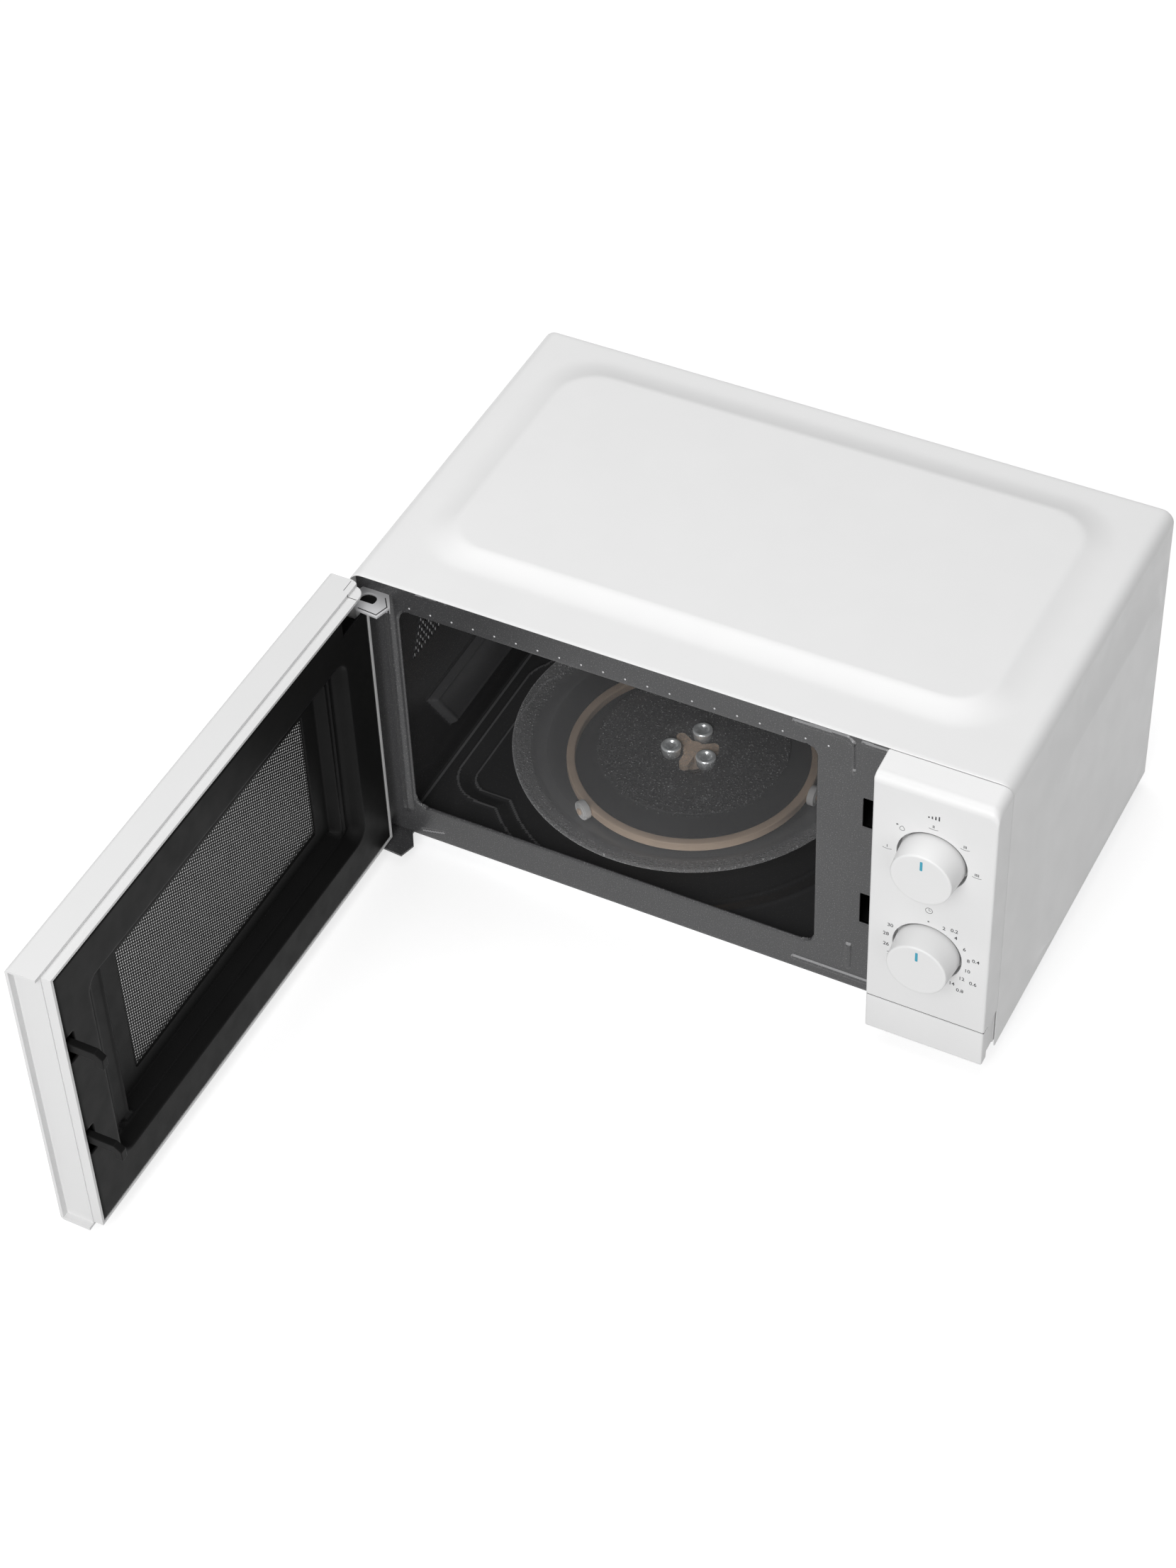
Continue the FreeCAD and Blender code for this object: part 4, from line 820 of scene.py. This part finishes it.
def make_ring():
    middle = middle_mm("roller_ring")[2]
    low, high = middle - RING_HALF + 1.0, middle + RING_HALF - 1.0
    inner, outer = RING_R[0] + 1.0, RING_R[1] - 1.0
    profile = arc(inner, high, 1.0, 180, 90, 4) + arc(outer, high, 1.0, 90, 0, 4)
    profile += arc(outer, low, 1.0, 0, -90, 4) + arc(inner, low, 1.0, 270, 180, 4)
    centre = Vector((TRAY_X, TRAY_Y, middle))
    stubs = [lathe(STUB, about_spoke(centre, turn), 32) for turn in SPOKES]
    form = merged([lathe(profile, about_z(TRAY_X, TRAY_Y), 192), *stubs])
    stand_for(add_mesh("ring_moulded", form, "ring_plastic"), "roller_ring")


def make_wheels():
    half = 2.8
    for index, turn in enumerate(SPOKES):
        node = "roller_%d" % (index + 1)
        low, high = box_mm(node)
        radius = (high.z - low.z) / 2
        tread = arc(radius - 1.0, 1.0, 1.0, -60, 0, 4)
        side = [(1.56, half - 0.6), (2.2, half), (4.4, half), (4.8, half - 0.5), (radius - 1.2, half - 0.5)]
        profile = [(r, -h) for r, h in side] + [(r, h - half + 0.2) for r, h in tread]
        profile += [(r, half - 0.2 - h) for r, h in reversed(tread)] + side[::-1]
        form = lathe(profile, about_spoke((low + high) / 2, turn), 64)
        stand_for(add_mesh(node + "_moulded", form, "wheel_plastic"), node)


# ---- control panel ----
PANEL_R = 1.5
TURNS = (0, 22, 45, 68, 90)
SHOULDER = 7.0
POCKET_DEPTH, MOUTH_R, SKIRT_R = 2.2, 22.9, 19.0
BUTTON_R, BUTTON_THICK = 1.3, 4.5
KNOB_TIP, KNOB_R = 20.0, 1.3
SEAM = 0.9


def panel_top(y):
    """Height of the panel's upper surface at a depth y."""
    low, crest = BASE + 224.8, panel_high.z - 1.6
    run = y - PANEL_Y
    if run < SHOULDER:
        across = 1 - run / SHOULDER
        return low + (crest - low) * sqrt(max(0.0, 1 - across ** 2.2))
    return crest + (panel_high.z - crest) * (run - SHOULDER) / (FRONT - 0.3 - PANEL_Y - SHOULDER)


def rounded_outline(x0, x1, z0, z1, radii, y, steps=8):
    """Closed outline at a depth y; radii are for the corners from lower left, counter-clockwise."""
    corners = ((x0, z0, 180), (x1, z0, 270), (x1, z1, 0), (x0, z1, 90))
    points = []
    for (x, z, start), radius in zip(corners, radii):
        cx = x + (radius if x == x0 else -radius)
        cz = z + (radius if z == z0 else -radius)
        points += [(px, y, pz) for px, pz in arc(cx, cz, radius, start, start + 90, steps)]
    return points


def make_panel():
    x0, x1 = panel_low.x, panel_high.x
    low = button_high.z + SEAM
    loops = []
    ys = [PANEL_Y + PANEL_R * (1 - cos(radians(t))) for t in TURNS]
    ys += [PANEL_Y + d for d in (2.0, 2.6, 3.3, 4.1, 5.0, 6.0, 7.0, 8.0, 12.0, 17.0)] + [FRONT - 0.7]
    for y in ys:
        inset = rolled(y - PANEL_Y, PANEL_R)
        top = panel_top(y) - 0.15 * inset
        loops.append(rounded_outline(x0 + inset, x1 - inset, low + inset * 0.35, top,
                                     (0.3, 0.3, 6.5, 1.2), y))
    panel = add_mesh("panel_moulded", loft(loops, caps=True), "white_plastic", 30)
    pocket = [(0, POCKET_DEPTH), (MOUTH_R - 0.7, POCKET_DEPTH), (MOUTH_R - 0.2, POCKET_DEPTH - 0.25),
              (MOUTH_R, POCKET_DEPTH - 0.8), (MOUTH_R, 0.5), (MOUTH_R + 0.15, 0.15), (MOUTH_R + 0.6, -0.02),
              (MOUTH_R + 1.4, -1.0), (0, -1.0)]
    groove = [(SKIRT_R, 9.0), (MOUTH_R, 9.0), (MOUTH_R, 1.0), (SKIRT_R, 1.0)]
    for kx, kz in KNOBS.values():
        for profile in (pocket, groove):
            form = lathe([(r, PANEL_Y + d) for r, d in profile], about_y(kx, kz))
            cut(panel, add_mesh("cutter", form, "white_plastic"))
    smooth(panel.data, 30)
    weigh(panel)
    stand_for(panel, "control_panel")

    radii = (0.5, 0.5, 6.5, 0.5)
    rims = [rounded_outline(x0 + 0.8, x1 - 1.2, button_low.z, panel_high.z - 0.7, radii, y)
            for y in (FRONT - 1.5, PLATE_Y - 0.05)]
    back_rim = soften(add_mesh("panel_back_rim", loft(rims, caps=True), "white_plastic", 30), 0.3)
    extra(back_rim)

    foot = button_low.z + 1.6
    places = ((x0 + 1.6, x0 + 3.0, foot, low + 1.0), (x1 - 3.0, x1 - 1.6, foot, low + 1.0),
              (x0 + 2.0, x1 - 2.0, foot - 0.1, foot + 1.1))
    cheeks = [block(xa, xb, PANEL_Y + 7.9, FRONT - 1.0, za, zb) for xa, xb, za, zb in places]
    extra(add_mesh("panel_cheeks", merged(cheeks), "white_plastic", 30))


def make_button():
    x0, x1, z0, z1 = button_low.x, button_high.x, button_low.z, button_high.z
    back, radii = PANEL_Y + BUTTON_THICK, (1.0, 1.0, 0.4, 0.4)
    loops = []
    for turn in map(radians, TURNS):
        inset = BUTTON_R * (1 - sin(turn))
        loops.append(rounded_outline(x0 + inset, x1 - inset, z0 + inset * 1.5, z1 - inset * 0.2, radii,
                                     PANEL_Y + BUTTON_R * (1 - cos(turn))))
    loops.append(rounded_outline(x0, x1, z0, z1, radii, back))
    skirts = ((x0, x0 + 1.2, z0 + 1, z1 - 0.4), (x1 - 1.2, x1, z0 + 1, z1 - 0.4),
              (x0 + 1, x1 - 1, z0, z0 + 1.2))
    form = merged([loft(loops, caps=True),
                   block(x0 + 4, x1 - 4, back - 0.1, PANEL_Y + 11, z0 + 3.4, z1 - 1.2),
                   *(block(xa, xb, back - 0.1, PANEL_Y + 7.6, za, zb) for xa, xb, za, zb in skirts),
                   block(178, 190, PANEL_Y + 10, button_high.y, z1 - 14.2, z1 - 9.0)])
    button = add_mesh("button_moulded", form, "white_plastic", 30)
    # The button's top face in the seam under the panel is black: painted shade in the gap.
    tint(button, "black_plastic", lambda c: c.z > z1 - 0.15 and PANEL_Y + 0.9 < c.y < back)
    stand_for(button, "door_release_button")


def make_knobs():
    front, back = knob_low.y, knob_high.y
    tip, root = KNOB_TIP, (knob_high.x - knob_low.x) / 2
    profile = [(0, front + 0.25), (8, front + 0.22), (14, front + 0.12), (17.5, front + 0.02)]
    profile += arc(tip - KNOB_R, front + KNOB_R, KNOB_R, -90, 0, 6)
    profile += [(tip + (root - tip) * t, front + 1.3 + (back - front - 1.7) * t) for t in (0.35, 0.7, 1.0)]
    profile += [(root - 0.4, back), (root - 2.0, back), (tip - 2.4, front + 3.0), (0, front + 3.0)]
    for kind, (kx, kz) in KNOBS.items():
        node = kind + "_knob"
        stand_for(add_mesh(node + "_moulded", lathe(profile, about_y(kx, kz)), "white_plastic", 38), node)
        mark = [rounded_outline(kx - 0.85, kx + 0.85, kz + 8.4, kz + 16.0, (0.5,) * 4, y, 4)
                for y in (front + 0.06, front)]
        extra(add_mesh(kind + "_pointer_mark", loft(mark, caps=True), "pointer_ink"),
              frame["nodes"][node]["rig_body"])


# ---- print on the panel ----
FIGURE, SMALL_FIGURE = 2.9, 2.2
TIMER_MARKS = (22, 41.6, 61.8, 82, 101.6, 120.9, 140.8, 160.5, 180, -160.2, -140, -119, -101.7, -82.3, -63.5)
WEIGHT_MARKS = ((0.2, 31.4, 33), (0.4, 32.6, 80.5), (0.6, 34.9, 116.5), (0.8, 34.4, 138))
POWER_MARKS = (("I", -90), ("II", 0), ("III", 45), ("IIII", 90))


def ink_text(words, x, z, height):
    """Printed figures, centred on a point of the panel's face."""
    curve = bpy.data.curves.new("figures", "FONT")
    curve.body = words
    curve.size = height * 1.4 * MM
    curve.align_x = "CENTER"
    curve.align_y = "CENTER"
    curve.extrude = 0.02 * MM
    curve.offset = 0.05 * MM
    curve.resolution_u = 4
    text = add_object("figures", curve)
    mesh = evaluated(text)
    bpy.data.objects.remove(text)
    place = Matrix.Translation(Vector((x, PANEL_Y - 0.03, z)) * MM)
    mesh.transform(place @ Matrix.Rotation(radians(90), 4, "X"))
    return mesh


def ribbon(points, width):
    """A thin printed line through points (x, z)."""
    verts, faces = [], []
    for index, (x, z) in enumerate(points):
        ahead = points[min(index + 1, len(points) - 1)]
        behind = points[max(index - 1, 0)]
        along = Vector((ahead[0] - behind[0], ahead[1] - behind[1])).normalized()
        for side in (-1, 1):
            for y in (PANEL_Y - 0.05, PANEL_Y + 0.05):
                verts.append((x - along.y * side * width / 2, y, z + along.x * side * width / 2))
    for a in range(0, 4 * len(points) - 4, 4):
        b = a + 4
        faces += [(a, a + 2, b + 2, b), (a + 1, b + 1, b + 3, a + 3),
                  (a, b, b + 1, a + 1), (a + 2, a + 3, b + 3, b + 2)]
    end = 4 * (len(points) - 1)
    faces += [(0, 1, 3, 2), (end, end + 2, end + 3, end + 1)]
    return verts, faces


def make_dial_print():
    (kx, timer_z), power_z = KNOBS["timer"], KNOBS["power"][1]

    def around(kz, radius, degrees):
        return kx + radius * sin(radians(degrees)), kz + radius * cos(radians(degrees))

    meshes = [ink_text(str(2 + 2 * index), *around(timer_z, 27.6, degrees), FIGURE)
              for index, degrees in enumerate(TIMER_MARKS)]
    meshes += [ink_text(str(weight), *around(timer_z, radius, degrees), FIGURE)
               for weight, radius, degrees in WEIGHT_MARKS]
    lines = []
    for words, degrees in POWER_MARKS:
        x, z = around(power_z, 29.0, degrees)
        meshes.append(ink_text(words, x, z + 0.7, SMALL_FIGURE))
        bow = [(x + u, z - 1.7 + 0.055 * u * u) for u in (-3.0, -2.4, -1.2, 0, 1.2, 2.4, 3.0)]
        lines.append(ribbon(bow, 0.28))
    # a drop and a star for thawing
    x, z = around(power_z, 29.0, -45)
    drop = [(x + 0.6 + 1.5 * cos(t) * (1 - 0.45 * sin(t)), z - 0.6 + 1.9 * sin(t))
            for t in map(radians, range(-90, 271, 30))]
    lines.append(ribbon(drop, 0.3))
    for turn in map(radians, (0, 60, 120)):
        u, v = 0.9 * cos(turn), 0.9 * sin(turn)
        lines.append(ribbon([(x - 2.6 - u, z + 1.6 - v), (x - 2.6 + u, z + 1.6 + v)], 0.25))
    # the timer's zero, a clock above it and rising bars above the power dial
    x, z = around(timer_z, 27.2, 0)
    lines.append(ribbon([(x - 0.55, z), (x + 0.55, z)], 1.0))
    clock_z = timer_z + 37.0
    lines.append(ribbon(arc(kx, clock_z, 2.3, 0, 360, 18), 0.32))
    lines.append(ribbon([(kx, clock_z + 1.6), (kx, clock_z), (kx + 1.2, clock_z)], 0.3))
    for step in range(4):
        x, z = kx - 3.3 + 2.2 * step, power_z + 36.0
        lines.append(ribbon([(x, z), (x, z + 1.3 + 0.75 * step)], 0.9))
    final = bpy.data.meshes.new("dial_print")
    with edited(final) as joined:
        for mesh in meshes:
            joined.from_mesh(mesh)
            bpy.data.meshes.remove(mesh)
        for verts, faces in lines:
            made = [joined.verts.new(Vector(v) * MM) for v in verts]
            for face in faces:
                joined.faces.new([made[i] for i in face])
    final.materials.clear()
    final.materials.append(FINISH["dial_ink"])
    extra(add_object("dial_print", final))


# ---- door ----
MOUTH = (-192.0, 108.0, BASE + 34.0, BASE + 196.0, 12.0)
LEDGE = (-176.0, 84.0, BASE + 46.0, BASE + 184.0, 5.0)
SCREEN = (-158.0, 61.0, BASE + 61.0, BASE + 166.0)
SCREEN_Y = FRONT - 12.0
HOOK_TOPS = (BASE + 170.5, BASE + 86.0)
COVER_PITCH = 1.3
PITCH_X, PITCH_Z = 2.2, 2.46
HOLE_R = 0.82
CELL = [(4, 0), (3, 1), (2, 2), (0, 2), (-2, 2), (-3, 1)]
CELL += [(-u, -v) for u, v in CELL]
CHOKE = 0.6


def inner_level(x, z):
    """Depth of the inner cover's face behind the plane that meets the front plate."""
    inside, within = -rect_distance(x, z, MOUTH), -rect_distance(x, z, LEDGE)
    depth = 9.1 * ease(inside / 6.0) - 0.9 * rib(inside, 0, [(10.5, -1), (10.5, 1)], 1.1)
    depth += 7.0 * ease(within / 1.6) - 0.8 * hump(within + 1.2, 1.0)
    dimple = hypot(x - 92.0, z - BASE - 44.0)
    return depth + 2.5 * (1 - ease((dimple - 2.0) / 2.0))


def make_inner_cover():
    x0, x1, _, _, z0, z1 = closed_box("door_inner_cover")
    slots = [(128.5, 135.6, top - 17, top + 5) for top in HOOK_TOPS]
    slots.append((x0 - 1, HINGE_X + 29.5, HINGE_TOP - 3.4, z1 + 1))
    xs = stations(x0, x1, COVER_PITCH, [*SCREEN[:2], *(m for slot in slots for m in slot[:2]), *LEDGE[:2]])
    zs = stations(z0, z1, COVER_PITCH, [*SCREEN[2:], *(m for slot in slots for m in slot[2:]), *LEDGE[2:4]])

    def point(x, z):
        edge = min(x - x0, x1 - x, z - z0, z1 - z)
        roll = 0.8 * (1 - min(1.0, edge / 1.3)) ** 2
        return opened(x, DOOR_REAR - inner_level(x, z) - roll, z)

    form = sheet(xs, zs, point, lambda x, z: not in_any(x, z, [SCREEN, *slots]))
    add_sheet("door_inner_cover", "inner_cover_moulded", form, "black_plastic", 1.4, (-1, 0, 0))


def make_screen():
    """Steel panel with a staggered field of round holes and its choke walls."""
    x0, x1, _, y1, z0, z1 = closed_box("door_metal_panel")
    columns = round((SCREEN[1] - SCREEN[0] + 6) / PITCH_X)
    rows = round((SCREEN[3] - SCREEN[2] + 6) / PITCH_Z)
    width, height = columns * PITCH_X, (rows + 0.5) * PITCH_Z
    left = (SCREEN[0] + SCREEN[1] - width) / 2
    low = (SCREEN[2] + SCREEN[3] - height) / 2
    front, back = SCREEN_Y + 0.2, SCREEN_Y - 0.2
    verts, faces = [], []
    sixth = PITCH_X / 6
    rim = [(sixth * u, PITCH_Z / 4 * v) for u, v in CELL]
    count = len(rim)
    for column in range(columns):
        for row in range(rows):
            cx = left + (column + 0.5) * PITCH_X
            cz = low + (row + 0.5 + 0.5 * (column % 2)) * PITCH_Z
            a = len(verts)
            for y in (front, back):
                verts += [(cx + u, y, cz + v) for u, v in rim]
                verts += [(cx + HOLE_R * cos(t), y, cz + HOLE_R * sin(t))
                          for t in (atan2(v, u) for u, v in rim)]
            b = a + 2 * count
            for i in range(count):
                j = (i + 1) % count
                inner = a + count + i, a + count + j, b + count + j, b + count + i
                faces += [(a + i, a + j, inner[1], inner[0]), (b + i, inner[3], inner[2], b + j), inner]
    xa, xb = left - PITCH_X / 6, left + width + PITCH_X / 6
    za, zb = low + PITCH_Z / 2, low + height - PITCH_Z / 2
    rims = [block(a, b, back - 0.01, front + 0.01, c, d) for a, b, c, d in
            ((x0, xa, z0, z1), (xb, x1, z0, z1), (xa, xb, z0, za), (xa, xb, zb, z1))]
    walls = [block(a, b, front, y1, c, d) for a, b, c, d in
             ((x0, x0 + CHOKE, z0, z1), (x1 - CHOKE, x1, z0, z1),
              (x0, x1, z0, z0 + CHOKE), (x0, x1, z1 - CHOKE, z1))]
    verts, faces = merged([(verts, faces), *rims, *walls])
    piece = add_mesh("door_screen_perforated", ([opened(*v) for v in verts], faces), "door_steel", 30)
    stand_for(piece, "door_metal_panel")


def make_door_shell():
    shell = soften(from_node("door_shell", 0.0, "door_shell_moulded"), 0.9, 4)
    shell.data.materials[0] = FINISH["door_white"]
    top, step = closed_box("door_shell")[5], FRONT - 1.5
    turn = arc(-215.2, FRONT - 2.9, 8.0, 180, 90, 8)
    rim = [(-211.0, step - 3.0), (-223.2, step - 3.0), *turn, (-211.0, DOOR_REAR)]
    skin = [(-211.0, step - 4.0), (-224.4, step - 4.0), (-224.4, step - 2.0), (-223.0, step), (-211.0, step)]
    for name, outline, low, high, edge in (("door_corner_rim", rim, top - 4.6, top - 2.4, 0.5),
                                           ("door_corner_skin", skin, top - 2.3, top - 0.03, 0.0)):
        loops = [[opened(x, y, z) for x, y in outline] for z in (low, high)]
        cap = add_mesh(name, loft(loops, caps=True), "door_white", 30)
        if edge:
            soften(cap, edge, 3)
        extra(cap, "door")


# ---- the remaining nodes ----
HALF_GROOVE = 0.3
GROOVE = [(-212.0, FRONT - 12.3), (-198.7, FRONT - 13.3), (-195.9, FRONT - 4.2), (-200.9, FRONT + 2.6)]
BAR_FACES = [(0, 1, 2, 3), (4, 7, 6, 5), (0, 4, 5, 1), (1, 5, 6, 2), (2, 6, 7, 3), (3, 7, 4, 0)]
DOOR_PARTS = {"door_window": 0.4, "door_latch": 0.5, "latch_guide": 0.3, "door_hinge_pins": 0.2}
CABINET_PARTS = {"lower_hinge": 0.25, "drive_coupler": 0.4, "feet": 0.3, "cover_screws": 0.15,
                 "cord_bushing": 0.4, "rear_plate": 0.15, "base_plate": 0.15}


def groove_bar(xa, ya, xb, yb, levels):
    """A bar between two points, seen from above, that reaches half its width past each."""
    long = hypot(xb - xa, yb - ya)
    u, v = (xb - xa) / long * HALF_GROOVE, (yb - ya) / long * HALF_GROOVE
    corners = ((xa - u - v, ya - v + u), (xa - u + v, ya - v - u),
               (xb + u + v, yb + v - u), (xb + u - v, yb + v + u))
    return [(x, y, z) for z in levels for x, y in corners], BAR_FACES


def make_small_parts():
    for node, width in DOOR_PARTS.items():
        from_node(node, width)
    from_node("upper_hinge", 0.25).data.materials[0] = FINISH["hinge_zinc"]
    top = HINGE_TOP
    # Black bars along the hinge's groove line and a black block under the D-shaped hole: painted shade of the
    # groove and the recess.
    bars = [groove_bar(*start, *end, (top - 0.2, top + 0.12)) for start, end in zip(GROOVE, GROOVE[1:])]
    hole_shade = block(-217.0, -203.5, FRONT - 8.6, FRONT + 3.0, top - 2.4, top - 1.7)
    marks = add_mesh("hinge_groove_and_hole_shade", merged([*bars, hole_shade]), "black_plastic", 30)
    extra(marks)
    for node, width in CABINET_PARTS.items():
        from_node(node, width)
    from_node("interlock_bracket", 0.3).data.materials[0] = FINISH["black_plastic"]
    from_node("interlock_switches", 0.25)
    spring = from_node("button_spring", 0.0)
    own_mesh(spring)
    from_node("release_lever", 0.3)
    from_node("waveguide_cover", 0.1)
    for node, cad in frame["nodes"].items():
        if not cad.hide_render:
            cad.data.materials.clear()
            cad.data.materials.append(FINISH[SLOT_OF[node]])


# ---- stage, light and camera ----
STAGE = 20.0
GROUND_GLOW, SKY = 0.6, 0.35
FOCAL, SENSOR = 79.26, 36.0
LAMPS = (("key", (0.2, -2.3, 2.0), 1.6, 27.0), ("top", (-0.6, 0.2, 2.6), 2.6, 30.0),
         ("low", (0.25, -2.9, 1.1), 1.2, 25.0), ("right", (2.2, -2.2, 1.1), 1.4, 7.0))
LAMP_TARGET = Vector((0, -0.1, 0.15))
CAMERA_PLACE = (0.6853, -1.489, 1.6951)
CAMERA_TURN, CAMERA_TILT, CAMERA_ROLL = radians(-28.834), radians(45.452), radians(-2.659)


def make_stage():
    corners = [(-STAGE, -STAGE, 0), (STAGE, -STAGE, 0), (STAGE, STAGE, 0), (-STAGE, STAGE, 0)]
    mesh = bpy.data.meshes.new("studio_floor")
    mesh.from_pydata(corners, [], [(0, 1, 2, 3)])
    ground = finish("studio_floor", grey(0.6), 0.6, grain=2.0, vary=0.002)
    ground.surface({"Emission Color": (1, 1, 1, 1), "Emission Strength": GROUND_GLOW})
    mesh.materials.append(FINISH["studio_floor"])
    floor = add_object("studio_floor", mesh)
    floor.visible_diffuse = False

    world = bpy.data.worlds.new("studio")
    world.use_nodes = True
    sky = world.node_tree.nodes["Background"].inputs
    sky["Color"].default_value = (1.0, 1.0, 1.0, 1.0)
    sky["Strength"].default_value = SKY
    bpy.context.scene.world = world

    for name, place, size, power in LAMPS:
        lamp = bpy.data.lights.new(name, "AREA")
        lamp.shape = "DISK"
        lamp.size = size
        lamp.energy = power
        light = add_object(name, lamp)
        light.location = place
        light.rotation_euler = (LAMP_TARGET - Vector(place)).to_track_quat("-Z", "Y").to_euler()
    bpy.context.scene.view_settings.view_transform = "Standard"


def make_camera():
    turn, tilt, roll = CAMERA_TURN, CAMERA_TILT, CAMERA_ROLL
    ahead = Vector((sin(turn) * cos(tilt), cos(turn) * cos(tilt), -sin(tilt)))
    level = Vector((cos(turn), -sin(turn), 0))
    upward = level.cross(ahead)
    right = level * cos(roll) + upward * sin(roll)
    up = upward * cos(roll) - level * sin(roll)
    lens = bpy.data.cameras.new("camera")
    lens.sensor_fit = "VERTICAL"
    lens.sensor_height = SENSOR
    lens.lens = FOCAL
    camera = add_object("camera", lens)
    facing = Matrix((right, up, -ahead)).transposed().to_4x4()
    camera.matrix_world = Matrix.Translation(CAMERA_PLACE) @ facing
    bpy.context.scene.camera = camera


make_camera()
make_stage()
make_cover()
make_front_plate()
make_cavity()
make_tray()
make_ring()
make_wheels()
make_panel()
make_button()
make_knobs()
make_dial_print()
make_inner_cover()
make_screen()
make_door_shell()
make_small_parts()
